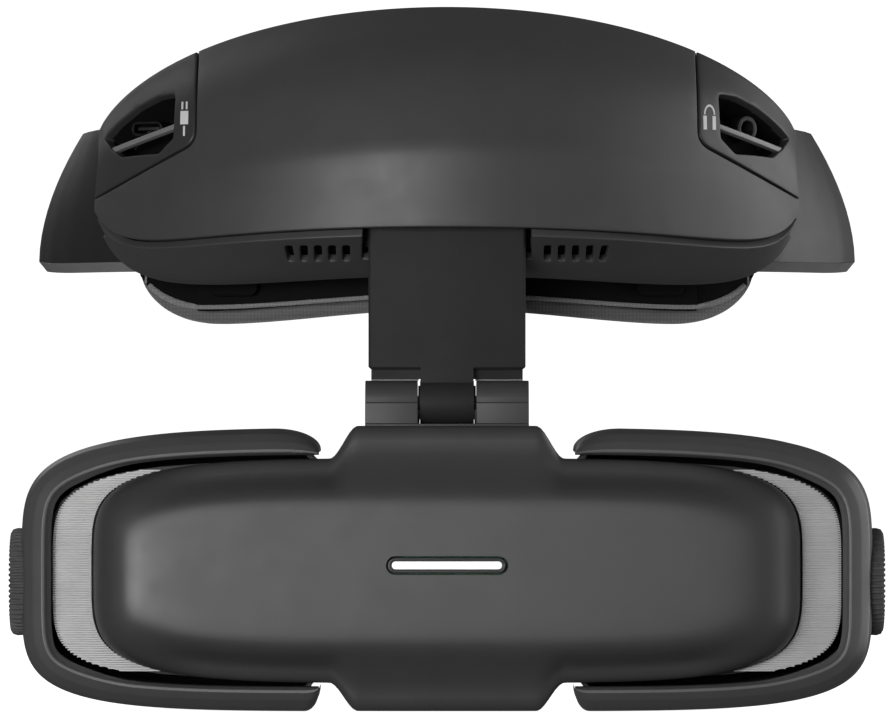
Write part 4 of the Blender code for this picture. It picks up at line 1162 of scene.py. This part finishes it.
def band_body(stations, profile_at, inset, side):
    """A leaning strip along stations. profile_at(share) gives its section, share running 0 to 1."""
    sections = []
    last = len(stations) - 1
    for i, (x, y, share) in enumerate(stations):
        before, after = stations[max(i - 1, 0)], stations[min(i + 1, last)]
        ahead = Vector((after[0] - before[0], after[1] - before[1])).normalized()
        section = []
        for depth, z in profile_at(i / last):
            push = inset + depth + share * lean_at(z)
            section.append((side * (x - ahead.y * push), y + ahead.x * push, z))
        sections.append(section)
    return skin_body(sections)


def arms():
    stations = plan_stations(ARM_PATH)
    dense = smooth_stations(stations, 8)

    def low(share):
        return ARM_LOW + 1.5 * smooth_step((share * 10 - 5) / 5)

    def high(share):
        station = share * 10
        return ARM_HIGH - 3.0 * smooth_step((2.8 - station) / 0.8) - 5.0 * smooth_step((station - 8) / 2)

    def arm_profile(share):
        return strip_profile(low(share), high(share), ARM_THICKNESS, (1.9, 2.3), 0.25)

    # A thin pale strip laid on the arm's lower chamfer: a painted highlight where light from below would catch
    # it.
    def chamfer_highlight_profile(share):
        bottom = low(share)
        return [(1.8, bottom + 0.02), (0.02, bottom + 2.2), (-0.04, bottom + 2.15), (1.74, bottom - 0.03)]

    channel = STRAP_THICKNESS + 0.8
    for side, label in SIDES:
        arm = stand_in("arm_" + label, band_body(dense, arm_profile, 0, side))
        # the chamfer strip is a painted highlight in pale plastic
        extra("arm_chamfer_highlight_" + label, "arm_" + label, band_body(dense, chamfer_highlight_profile, 0, side),
              material="grey_trim_and_highlight")
        shaped(arm, screw_hole(side))
        straight = smooth_stations(stations[8:], 16)
        liner = band_body(straight, lambda s: strip_profile(34.0, 56.5, LINER_THICKNESS, corner=0.4),
                          ARM_THICKNESS + channel, side)
        edge = band_body(straight, lambda s: strip_profile(34.0, 36.6, channel + 0.2, corner=0.3),
                         ARM_THICKNESS + 0.4, side)
        stand_in("arm_liner_" + label, merge_bodies(liner, edge))
        screw = turned_body([(5.4, 0), (5.4, 1.1), (5.0, 1.5), (-1.4, 1.5), (-1.4, 2.6), (-1.9, 2.6),
                             (-2.6, 2.0), (-2.75, 1.1), (-2.0, 1.05), (-2.0, 0)], 48,
                            centre=arm_screw_place(side))
        stand_in("arm_screw_" + label, screw)
        strap_places = smooth_stations(STRAP_PATH, 10)
        strap = band_body(strap_places, lambda share: strip_profile(37.9, 53.6, STRAP_THICKNESS),
                          ARM_THICKNESS + 0.4, side)
        stand_in("rear_strap_" + label, strap)


REAR_Y, REAR_HALF = 190.0, 40.0


def bowed_plate(x_half, front, thickness, low, high, bow, corner, end_round):
    """A plate bowed round the back of the head, with rounded edges and corners."""
    sections = []
    steps = 72
    for i in range(steps + 1):
        share = math.sin(math.pi / 2 * (2 * i / steps - 1))
        x = x_half * share
        y = front - bow * max(0.0, abs(x) - x_half / 9) ** 2 / x_half ** 2
        near_end = max(0.0, abs(x) - (x_half - end_round)) / end_round
        gone = end_round * (1 - math.sqrt(1 - near_end ** 2))
        corners = [(y, low + gone), (y + thickness, low + gone), (y + thickness, high - gone),
                   (y, high - gone)]
        sections.append([(x, yy, z) for yy, z in rounded_section(corners, corner, 4)])
    return skin_body(sections)


def dial_body(radius, teeth, profile, axis, centre):
    """A coin-edged dial. Its profile is (along, radius share, radial tooth, axial tooth), face to face."""
    bm = bmesh.new()
    wave = (0.0, 0.15, 0.85, 1.0, 0.85, 0.15)
    count = teeth * len(wave)
    outward = math.copysign(1, profile[-1][0] - profile[0][0])
    rings = []
    for along, share, radial, axial in profile:
        ring = []
        for i in range(count if share > 0 else 1):
            low = 1 - wave[i % len(wave)]
            ring.append(bm.verts.new(turn_point(along - outward * axial * low, radius * share - radial * low,
                                                2 * math.pi * i / count, axis, centre)))
        rings.append(ring)
    for first, second in zip(rings, rings[1:]):
        for i in range(count):
            j = (i + 1) % count
            corners = [first[i % len(first)], first[j % len(first)],
                       second[j % len(second)], second[i % len(second)]]
            bm.faces.new(list(dict.fromkeys(corners)))
    bmesh.ops.recalc_face_normals(bm, faces=bm.faces)
    return bm


def dial_profile(inner, outer, tooth):
    """A dial's section: a chamfered back, toothed rim, and a dished cap."""
    out = math.copysign(1, outer - inner)
    return [(inner, 0, 0, 0), (inner, 0.90, 0, 0), (inner + out * 0.4, 0.965, 0, 0),
            (inner + out * 0.7, 0.985, tooth, 0), (outer - out * 1.5, 1.0, tooth, 0),
            (outer - out * 0.5, 0.975, tooth, 0.15), (outer, 0.91, 0.1, 0.35), (outer, 0.85, 0, 0.35),
            (outer - out * 0.6, 0.80, 0, 0), (outer - out * 0.9, 0.72, 0, 0),
            (outer - out * 1.0, 0.3, 0, 0), (outer - out * 1.0, 0, 0, 0)]


def rear_unit():
    def place(share, depth, z):
        x = REAR_HALF * share
        return Vector((x, depth - 9 * max(0.0, abs(x) - REAR_HALF / 9) ** 2 / REAR_HALF ** 2, z))

    def low(share):
        return 24 + 5 * (1 - math.sqrt(1 - max(0, (abs(share) - 0.82) / 0.18) ** 2 * 0.99))

    def high(share):
        return 62 - 5 * (1 - math.sqrt(1 - max(0, (abs(share) - 0.82) / 0.18) ** 2 * 0.99))

    def sink(share, rise):
        deep = max(math.exp(-((share - line) / 0.035) ** 2) for line in (-0.5, 0.0, 0.5))
        return 0.9 * deep * smooth_step((1 - abs(rise)) / 0.14)

    columns = 90
    sections = pad_sections(columns, place, low, high, REAR_Y, REAR_Y + 7.5, sink)
    pad = stand_in("rear_pad", skin_body(sections), sharp=80)
    count = len(sections[0])
    pinned = []
    for i, section in enumerate(sections):
        share = end_share(i, columns)
        on_seam = any(abs(share - line) < 0.03 for line in (-0.5, 0.0, 0.5))
        middle_y = place(share, REAR_Y + 3.75, 0).y
        for k in range(count):
            if on_seam or section[k].y > middle_y - 1.8 or i in (0, columns):
                pinned.append(i * count + k)
    inflate(pad, pinned)
    cord = [place(s, REAR_Y + 6.6, low(s) + 0.6) for s in (-0.95 + 1.9 * k / 79 for k in range(80))]
    cord += [place(s, REAR_Y + 6.6, high(s) - 0.6) for s in (0.95 - 1.9 * k / 79 for k in range(80))]
    extra("rear_pad_piping", "rear_pad", tube_along(cord, 0.6, closed=True), material="piping", sharp=80)
    stand_in("rear_base", bowed_plate(REAR_HALF, REAR_Y + 7.9, 2.6, 26, 60, 9, 0.7, 6.0))
    cover = stand_in("rear_cover", bowed_plate(34.0, REAR_Y + 10.9, 7.0, 29, 57, 6.5, 2.2, 9.0))
    centre = (0, REAR_Y, 43.0)
    well = cutter(turned_body([(13.4, 0), (13.4, 13.4), (40, 13.4), (40, 0)], 120, "Y", centre))
    shaped(cover, well, bevel=0.3, segments=2)
    stand_in("adjuster_dial", dial_body(12.6, 44, dial_profile(13.8, 23.4, 0.55), "Y", centre))


# ---------------------------------------------------------------- hinge

def hinge():
    refined("hinge_plate", 0.3, 3, "plate_plastic")
    # Thin pale strips on the plate's lip: a painted highlight along the lip's edge.
    strips = [box_body(sorted((side * 6.2, side * 16.6)), (-37.0, -36.75), (4.75, 8.0)) for side in (-1, 1)]
    extra("plate_lip_highlight", "hinge_plate", merge_bodies(*strips), material="grey_trim_and_highlight")
    collars = []
    arc = [math.radians(200 + 14 * k) for k in range(11)]
    sector = [(4.7 * math.cos(a), 4.7 * math.sin(a)) for a in arc]
    sector += [(3.9 * math.cos(a), 3.9 * math.sin(a)) for a in reversed(arc)]
    for side in (-1, 1):
        collars.append(prism_body(sector, side * 6.0, side * 6.5, "X", (0, HINGE_Y, 0)))
    extra("bracket_collars", "hinge_bracket", merge_bodies(*collars))
    refined("hinge_bracket", 0.35, 3)
    refined("hinge_pin", 0.25)
    for side, label in SIDES:
        screw = turned_body([(-39.4, 0), (-39.4, 1.4), (-40.4, 1.7), (-40.8, 1.4), (-40.8, 0.8),
                             (-40.2, 0.7), (-40.2, 0)], 40, centre=(side * 12.0, 0, -9.0))
        stand_in("bracket_screw_" + label, screw)


# ---------------------------------------------------------------- visor

VISOR_Z = -36.5  # the visor's centre line
COVER_A, COVER_B, COVER_N = 76.8, 24.4, 4.4
TAB_HALF_WIDTH, TAB_FOOT = 19.4, 25.6
TAB_RISE, LOWER_TAB_RISE = 7.1, 6.1
RIM_A, RIM_B, RIM_N, RIM_N_LOW = 92.8, 30.8, 4.5, 5.3
RIM_END_X, RIM_END_ROUND, LOWER_RIM_END_ROUND, RIM_WIDTH = 27.9, 10.5, 3.2, 5.6
CHASSIS_A, CHASSIS_B = 86.6, 23.9
REAR_A, REAR_B, REAR_STEP = 90.2, 28.0, 4.3
LIGHT_BAR_Z = -35.1
IPD_HALF = 32.0
DIAL_Y, DIAL_Z, DIAL_R = -35.5, -39.3, 11.8
DIAL_X = (90.2, 95.6)

# The front cover from its edge inwards: inset, y where it has a flange, y at its ends, share of its tabs
COVER_PROFILE = [
    (0.0, -47.6, -47.6, 1), (0.0, -49.4, -49.2, 1), (0.0, -50.7, -50.3, 1), (0.25, -51.5, -51.3, 1),
    (0.8, -52.15, -52.7, 1), (1.6, -52.7, -54.1, 0.98), (2.5, -53.05, -55.3, 0.9),
    (3.3, -53.4, -56.2, 0.76), (4.0, -54.2, -56.9, 0.58), (4.8, -55.4, -57.5, 0.4),
    (5.6, -56.75, -58.05, 0.24), (6.4, -58.0, -58.5, 0.12), (7.2, -58.9, -58.9, 0.04),
    (8.1, -59.4, -59.2, 0), (9.2, -59.68, -59.5, 0), (10.6, -59.83, -59.7, 0), (13.0, -59.92, -59.88, 0),
    (17.0, -59.97, -59.96, 0), (21.0, -60.0, -60.0, 0), (23.4, -60.0, -60.0, 0)]
COVER_INSIDE = [
    (1.8, -47.6, -47.6, 1), (1.8, -49.6, -48.8, 1), (2.3, -50.8, -50.0, 0.98), (4.0, -51.4, -52.6, 0.8),
    (5.2, -52.6, -54.6, 0.5), (6.6, -54.8, -55.8, 0.24), (8.0, -56.9, -56.6, 0.08), (9.4, -57.8, -57.4, 0),
    (12.0, -58.1, -58.0, 0), (17.0, -58.2, -58.15, 0), (22.0, -58.2, -58.2, 0)]


def superellipse(a, b, n, raised, lowered, flats):
    """A closed outline about (0, 0) that stands out above and below by raised(x) and lowered(x)."""
    quarter = [(x, b * (1 - (x / a) ** n) ** (1 / n)) for x in flats]
    start = math.acos((flats[-1] / a) ** (n / 2))
    corner_steps = 26
    for step in range(1, corner_steps):
        angle = start * (1 - step / corner_steps)
        quarter.append((a * math.cos(angle) ** (2 / n), b * math.sin(angle) ** (2 / n)))
    right = [(x, z + raised(x)) for x, z in quarter] + [(a, 0.0)]
    right += [(x, -z - lowered(x)) for x, z in reversed(quarter)]
    return right + [(-x, z) for x, z in reversed(right) if 0.01 < x]


def tab_shape(rise):
    """How far a tab with S-shaped shoulders stands out, as a function of x."""
    return lambda x: rise * smooth_step((TAB_FOOT - x) / (TAB_FOOT - TAB_HALF_WIDTH))


def shell_body(outer, inner):
    """A closed bowl with a wall, from rings that run from its open edge to its middle."""
    bm = bmesh.new()
    loops = [[bm.verts.new(point) for point in ring] for ring in outer[::-1] + inner]
    count = len(loops[0])
    for first, second in zip(loops, loops[1:]):
        for i in range(count):
            j = (i + 1) % count
            bm.faces.new((first[i], first[j], second[j], second[i]))
    bm.faces.new(loops[0])
    bm.faces.new(loops[-1])
    bmesh.ops.recalc_face_normals(bm, faces=bm.faces)
    return bm


def cover_ring(inset, flange_y, end_y, tab):
    """A ring of the front cover. Its y changes from the flange's to the ends' along the sides."""
    a, b = COVER_A - inset, COVER_B - inset
    flats = [0.0, 5, 10, 15] + [18 + 0.8 * k for k in range(12)] + [28, 31, 34, 37, 40, 43, 46, 49, 52]
    squeeze = (flats[-1] * a / COVER_A - TAB_FOOT) / (flats[-1] - TAB_FOOT)
    xs = [x if x <= TAB_FOOT else TAB_FOOT + (x - TAB_FOOT) * squeeze for x in flats]
    ring = []
    for x, z in superellipse(a, b, COVER_N, tab_shape(tab * TAB_RISE), tab_shape(tab * LOWER_TAB_RISE), xs):
        end = smooth_step((abs(x) - 52) / 16)
        ring.append((x, flange_y + (end_y - flange_y) * end, VISOR_Z + z))
    return ring


def moved(outline, x, z):
    return [(a + x, u + z) for a, u in outline]


def front_cover():
    outer = [cover_ring(*row) for row in COVER_PROFILE]
    inner = [cover_ring(*row) for row in COVER_INSIDE]
    cover = stand_in("front_cover", shell_body(outer, inner))
    slot = cutter(prism_body(moved(stadium(26.4, 4.1), 0, LIGHT_BAR_Z), -70, -50))
    shaped(cover, slot, sharp=40)


def light_bar():
    frame_bm = prism_body(moved(stadium(25.6, 3.3), 0, LIGHT_BAR_Z), -59.9, -56.0)
    pocket = cutter(prism_body(moved(stadium(24.4, 2.2), 0, LIGHT_BAR_Z), -70, -57.5))
    shaped(stand_in("light_bar_frame", frame_bm), pocket, bevel=0.12, segments=2)
    sections = []
    for y, inset in ((-57.9, 0), (-59.45, 0), (-59.65, 0.08), (-59.76, 0.22), (-59.8, 0.42)):
        loop = moved(stadium(23.9 - 2 * inset, 1.7 - 2 * inset), 0, LIGHT_BAR_Z)
        sections.append([(x, y, z) for x, z in loop])
    stand_in("light_bar", skin_body(sections))
    refined("light_board", 0.2, 1)
    diodes = [box_body((x - 0.9, x + 0.9), (-56.0, -55.5), (LIGHT_BAR_Z - 0.5, LIGHT_BAR_Z + 0.5))
              for x in (-10, -6, -2, 2, 6, 10)]
    shaped(extra("light_diodes", "light_board", merge_bodies(*diodes), material="light_diffuser"), bevel=0.1)


def rod(name, z):
    profile = [(-61, 0), (-61, 1.2), (-60.6, 1.5), (60.6, 1.5), (61, 1.2), (61, 0)]
    stand_in(name, turned_body(profile, 48, "X", (0, -40.7, z)))


def chassis():
    refined("visor_chassis", 0.3)
    rod("guide_rod_lower", VISOR_Z - 19.0)
    rod("guide_rod_upper", VISOR_Z + 19.0)
    refined("driver_board", 0.2, 1)
    add_chips("driver_chips", "driver_board", -42.4, -41.2,
              ((-4, -27, 3, 3), (4.5, -29, 2.5, 4), (0, -40, 4.5, 4.5), (-5, -47.5, 2, 2)))


def dial_room(side):
    ends = sorted((side * 84, side * 100))
    return cutter(turned_body([(ends[0], 0), (ends[0], DIAL_R + 0.55), (ends[1], DIAL_R + 0.55), (ends[1], 0)],
                              128, "X", (0, DIAL_Y, DIAL_Z)))


def rear_ring(inset, y):
    """The visor's rear outline: low behind the hinge, stepping up to the rims at the sides."""
    a, b = REAR_A - inset, REAR_B - inset
    drop = REAR_STEP * max(0.0, 1 - inset / 20)
    flats = [0.0, 10, 20] + [26 + 0.8 * k for k in range(14)] + [40, 44, 48, 52]
    squeeze = (flats[-1] * a / REAR_A - 35) / (flats[-1] - 35)
    xs = [x if x <= 35 else 35 + (x - 35) * squeeze for x in flats]

    def step(x):
        return -drop * smooth_step((32.2 - x) / 4.4)

    return [(x, y, VISOR_Z + z) for x, z in superellipse(a, b, RIM_N, step, step, xs)]


def rear_shell(rooms):
    outer = [rear_ring(*row) for row in
             ((0, -45.2), (0, -36), (0, -27.5), (0.15, -25.6), (0.6, -24.0), (1.3, -22.7), (2.3, -21.5),
              (3.6, -20.7), (5.0, -20.2), (6.6, -20.0), (12, -20.0), (18, -20.0), (24, -20.0))]
    inner = [rear_ring(*row) for row in
             ((1.8, -45.2), (1.8, -36), (1.8, -27.5), (2.2, -25.6), (3.2, -23.6), (4.8, -22.3),
              (6.6, -21.8), (12, -21.8), (18, -21.8), (23, -21.8))]
    shell = stand_in("visor_rear_shell", shell_body(outer, inner))
    holes = [cutter(prism_body(moved(stadium(38.8, 32.3, 40), side * IPD_HALF, VISOR_Z), -30, -10))
             for side in (-1, 1)]
    shaped(shell, *holes, *rooms, sharp=40)


# A rim's section: depth inwards, y, how much further inwards it lies beside the panel, corner radius
RIM_PROFILE = [(0, -20.6, 0, 0.6), (0, -45.0, 0, 3.0), (0.8, -48.8, 0, 2.4), (2.6, -51.2, 0.1, 2.4),
               (4.25, -52.45, 0.5, 0.3), (4.95, -52.4, 0.5, 0.3), (5.5, -51.4, 0.4, 0.4),
               (5.6, -50.8, 1.1, 0.3), (5.6, -49.6, 1.1, 0.3), (5.6, -49.3, 0, 0.1), (5.6, -47.4, 0, 0.3),
               (2.2, -45.3, 0, 0.6), (2.2, -20.6, 0, 0.3)]


def rim_section(x):
    """The rim's section at a distance from the middle, as (depth, y)."""
    share = smooth_step((x - 68) / 16)
    return rounded_path([(depth + more * share, y, corner) for depth, y, more, corner in RIM_PROFILE], 0, 5)


def rim_half(xs, power):
    """A rim's outline from its end to its middle height: given x places, then even angles."""
    flat = [(x, RIM_B * (1 - (x / RIM_A) ** power) ** (1 / power)) for x in xs]
    start = math.acos((xs[-1] / RIM_A) ** (power / 2))
    steps = 34
    for step in range(1, steps):
        angle = start * (1 - step / steps)
        flat.append((RIM_A * math.cos(angle) ** (2 / power), RIM_B * math.sin(angle) ** (2 / power)))
    return flat + [(RIM_A, 0.0)]


def rims(rooms):
    xs = [RIM_END_X + 11.0 * (k / 20) ** 1.6 for k in range(20)] + [39 + 2.4 * k for k in range(8)]
    points = rim_half(xs, RIM_N)
    points += [(x, -z) for x, z in rim_half(xs, RIM_N_LOW)[-2::-1]]
    for (side, label), room in zip(SIDES, rooms):
        sections = []
        for x, z in points:
            power = RIM_N if z > 0 else RIM_N_LOW
            gradient = Vector((-abs(x / RIM_A) ** (power - 1) / RIM_A,
                               -math.copysign(abs(z / RIM_B) ** (power - 1) / RIM_B, z))).normalized()
            end_round = RIM_END_ROUND if z > 0 else LOWER_RIM_END_ROUND
            share = min(1.0, max(0.0, (RIM_END_X + end_round - x) / end_round))
            cut = (RIM_WIDTH - 0.9) * (1 - math.sqrt(1 - share ** 2))
            ring = []
            for depth, y in rim_section(x):
                inset = cut + depth * (RIM_WIDTH - cut) / RIM_WIDTH
                ring.append((side * (x + gradient.x * inset), y, VISOR_Z + z + gradient.y * inset))
            sections.append(ring)
        shaped(stand_in("side_rim_" + label, skin_body(sections), material="rim_plastic"), room, sharp=40)


def panel_edges(z):
    """Where a side panel begins and ends at a height, as distances from the middle."""
    near = COVER_A * (1 - (abs(z) / COVER_B) ** COVER_N) ** (1 / COVER_N) + 0.6
    power = RIM_N if z > 0 else RIM_N_LOW
    far = (CHASSIS_A - 0.2) * (1 - (abs(z) / CHASSIS_B) ** power) ** (1 / power)
    return near, far


def side_panels():
    """Grey crescents of fine level ribs on a base. The ribs end in steps along the rim."""
    pitch, rib_half, reach = 0.5, 0.19, 22.0
    for side, label in SIDES:
        bars = []
        sections = []
        for i in range(61):
            z = (reach - 0.1) * math.sin(math.pi / 2 * (2 * i / 60 - 1))
            near, far = panel_edges(z)
            sections.append([(side * x, y, VISOR_Z + z) for x, y in
                             ((near, -47.4), (near, -48.2), (far - 1.2, -48.0), (far - 1.2, -47.4))])
        bars.append(skin_body(sections))
        count = int(2 * reach / pitch)
        for k in range(count):
            z = -reach + pitch * (k + 0.5)
            near, far = panel_edges(z + math.copysign(0.1, z))
            far -= 0.6
            if far - near < 0.6:
                continue
            rib = []
            for x, crest in ((near, -48.95), (far, -48.35)):
                rib.append([(side * x, y, VISOR_Z + z + dz) for y, dz in
                            ((-47.7, -rib_half), (crest + 0.12, -rib_half), (crest, -rib_half * 0.5),
                             (crest, rib_half * 0.5), (crest + 0.12, rib_half), (-47.7, rib_half))])
            bars.append(skin_body(rib))
        stand_in("side_panel_" + label, merge_bodies(*bars))


# ---------------------------------------------------------------- optics and focus dials

PINION_R, PINION_TEETH = 4.0, 8


def rack_outline(y_from, y_to, phase_y):
    """A rack seen along x, as (y, z): its back above, its teeth down round phase_y."""
    pitch_z = DIAL_Z + PINION_R
    pitch = 2 * math.pi * PINION_R / PINION_TEETH
    root, tip = pitch_z + 1.3, pitch_z - 0.6
    outline = [(y_to, pitch_z + 3.4), (y_from, pitch_z + 3.4), (y_from, root)]
    k = math.ceil((y_from + 0.9 - phase_y) / pitch - 0.5)
    while phase_y + (k + 0.5) * pitch < y_to - 0.9:
        middle = phase_y + (k + 0.5) * pitch
        outline += [(middle - 0.75, root), (middle - 0.3, tip), (middle + 0.3, tip), (middle + 0.75, root)]
        k += 1
    return outline + [(y_to, root)]


def arc_profile(radius, edge_y, bulge):
    """A lens face from its rim to the axis, as (along, radius)."""
    steps = 10
    return [(edge_y + bulge * (1 - (k / steps) ** 2), radius * k / steps) for k in range(steps, -1, -1)]


def optics(side, label):
    centre = (side * IPD_HALF, 0, VISOR_Z)
    refined("optic_carriage_" + label, 0.25)
    refined("microdisplay_" + label, 0.2)
    tube = [(-37.5, 13.4), (-37.5, 14.7), (-37.2, 15.0), (-20.5, 15.0), (-20.2, 14.6), (-19.6, 14.6),
            (-19.3, 15.0), (-13.3, 15.0), (-13.0, 14.7), (-13.0, 13.7), (-13.3, 13.4), (-30, 13.4)]
    barrel = turned_body(tube, 96, "Y", centre)
    link = box_body(sorted((side * IPD_HALF + side * 14.2, side * IPD_HALF + side * 16.0)), (-37.0, -29.0),
                    (DIAL_Z + 5.4, DIAL_Z + 7.2))
    rack_x = sorted((side * (IPD_HALF + 15.6), side * (IPD_HALF + 18.6)))
    rack = prism_body(rack_outline(-38.9, -29.0, DIAL_Y), *rack_x, "X")
    stand_in("lens_barrel_" + label, merge_bodies(barrel, link, rack))
    lens = arc_profile(13.0, -17.6, -1.0)[::-1] + arc_profile(13.0, -15.6, 1.8)
    stand_in("eyepiece_lens_" + label, turned_body(lens, 96, "Y", centre), sharp=60)
    cup = rounded_path([(-12.6, 13.2), (-12.6, 16.4, 0.4), (-8.5, 17.2, 4), (-4.7, 19.6, 1.2),
                        (-3.9, 18.6, 0.5), (-8.5, 14.7, 4), (-11.6, 13.2, 1)], 0.3, 5)
    stand_in("eyecup_" + label, turned_body([tuple(p) for p in cup], 96, "Y", centre), sharp=50)

    start, end = side * (IPD_HALF + 15.9), side * (DIAL_X[0] + 1.4)
    shaft = turned_body([(start, 0), (start, 1.8), (start + side * 0.3, 2.0), (end, 2.0), (end, 0)], 48, "X",
                        (0, DIAL_Y, DIAL_Z))
    gear = []
    for i in range(PINION_TEETH):
        for share, r in ((-0.17, PINION_R - 1.1), (-0.08, PINION_R + 0.75), (0.08, PINION_R + 0.75),
                         (0.17, PINION_R - 1.1)):
            angle = 2 * math.pi * (i + share + 0.25 * PINION_TEETH) / PINION_TEETH
            gear.append((r * math.cos(angle), r * math.sin(angle)))
    gear_x = sorted((side * (IPD_HALF + 15.7), side * (IPD_HALF + 18.5)))
    pinion = prism_body(gear, *gear_x, "X", (0, DIAL_Y, DIAL_Z))
    stand_in("focus_shaft_" + label, merge_bodies(shaft, pinion))
    profile = dial_profile(side * DIAL_X[0], side * DIAL_X[1], 0.5)
    stand_in("focus_dial_" + label, dial_body(DIAL_R, 56, profile, "X", (0, DIAL_Y, DIAL_Z)))


housing_front()
port_bezels()
housing_lower()
rear_wall()
inner_board()
forehead_pad()
arms()
rear_unit()
hinge()
front_cover()
light_bar()
chassis()
dial_rooms = [dial_room(side) for side in (-1, 1)]
rear_shell(dial_rooms)
rims(dial_rooms)
side_panels()
for eye_side, eye_label in SIDES:
    optics(eye_side, eye_label)
remove_spare()
for node_name, node_object in frame["nodes"].items():
    node_object.data.materials.clear()
    node_object.data.materials.append(MATERIALS[NODE_SLOTS[node_name]])


# ---------------------------------------------------------------- stage

def area_light(name, place, target, size, energy):
    light = bpy.data.lights.new(name, "AREA")
    light.shape = "RECTANGLE"
    light.size, light.size_y = size
    light.energy = energy
    obj = bpy.data.objects.new(name, light)
    bpy.context.scene.collection.objects.link(obj)
    obj.location = place
    obj.rotation_euler = (Vector(target) - Vector(place)).to_track_quat("-Z", "Y").to_euler()


def backdrop():
    """A white floor that turns up into a wall behind the object."""
    depth, wall, width, turn = 7.0, 5.0, 9.0, 1.5
    floor_z = CAD_BOX[0][2] - 0.0005
    profile = [(-depth, 0.0), (depth - turn, 0.0)]
    profile += [(depth - turn + turn * math.sin(math.pi / 2 * k / 16),
                 turn * (1 - math.cos(math.pi / 2 * k / 16))) for k in range(1, 17)]
    profile.append((depth, wall))
    bm = bmesh.new()
    rows = [[bm.verts.new((side * width, y, floor_z + z)) for side in (-1, 1)] for y, z in profile]
    for first, second in zip(rows, rows[1:]):
        bm.faces.new((first[0], first[1], second[1], second[0]))
    mesh = bpy.data.meshes.new("backdrop")
    bm.to_mesh(mesh)
    bm.free()
    mesh.shade_smooth()
    obj = bpy.data.objects.new("backdrop", mesh)
    bpy.context.scene.collection.objects.link(obj)
    material, tree, shader = node_material("backdrop_paper", (0.93, 0.93, 0.93), 0.9)
    paper = noise(tree, 3.0, 2.0)
    tree.links.new(ramp(tree, paper.outputs["Fac"], (0.92, 0.92, 0.92), (0.94, 0.94, 0.94)),
                   shader.inputs["Base Color"])
    shader.inputs["Emission Color"].default_value = (1, 1, 1, 1)
    shader.inputs["Emission Strength"].default_value = 1.0
    mesh.materials.append(material)
    obj.visible_diffuse = False
    obj.visible_glossy = False


def studio():
    world = bpy.data.worlds.new("studio")
    bpy.context.scene.world = world
    world.use_nodes = True
    world.node_tree.nodes["Background"].inputs["Color"].default_value = (1, 1, 1, 1)
    world.node_tree.nodes["Background"].inputs["Strength"].default_value = 0.11
    centre = (0, 0, -0.03)
    area_light("key", (-0.66, -1.15, -0.15), centre, (0.7, 0.7), 13.0)
    area_light("front_left", (-0.36, -1.35, -0.05), centre, (0.6, 0.6), 9.8)
    area_light("fill_right", (0.9, -0.9, 0.10), centre, (0.7, 0.7), 0.4)
    area_light("strip_right", (0.9, -0.15, 0.05), centre, (0.35, 1.0), 2.2)
    area_light("back_right", (0.8, 0.4, 0.10), centre, (0.4, 0.8), 2.8)
    area_light("back_left", (-0.35, 0.6, 0.35), centre, (0.4, 0.4), 0.6)
    bpy.context.scene.view_settings.view_transform = "Standard"


def camera():
    data = bpy.data.cameras.new("camera")
    data.sensor_width = 36
    data.lens = 298.2
    data.clip_start, data.clip_end = 0.05, 20
    obj = bpy.data.objects.new("camera", data)
    bpy.context.scene.collection.objects.link(obj)
    obj.location = (0, -1.66, -0.0368)
    obj.rotation_euler = (math.radians(90), 0, 0)
    bpy.context.scene.camera = obj


backdrop()
studio()
camera()
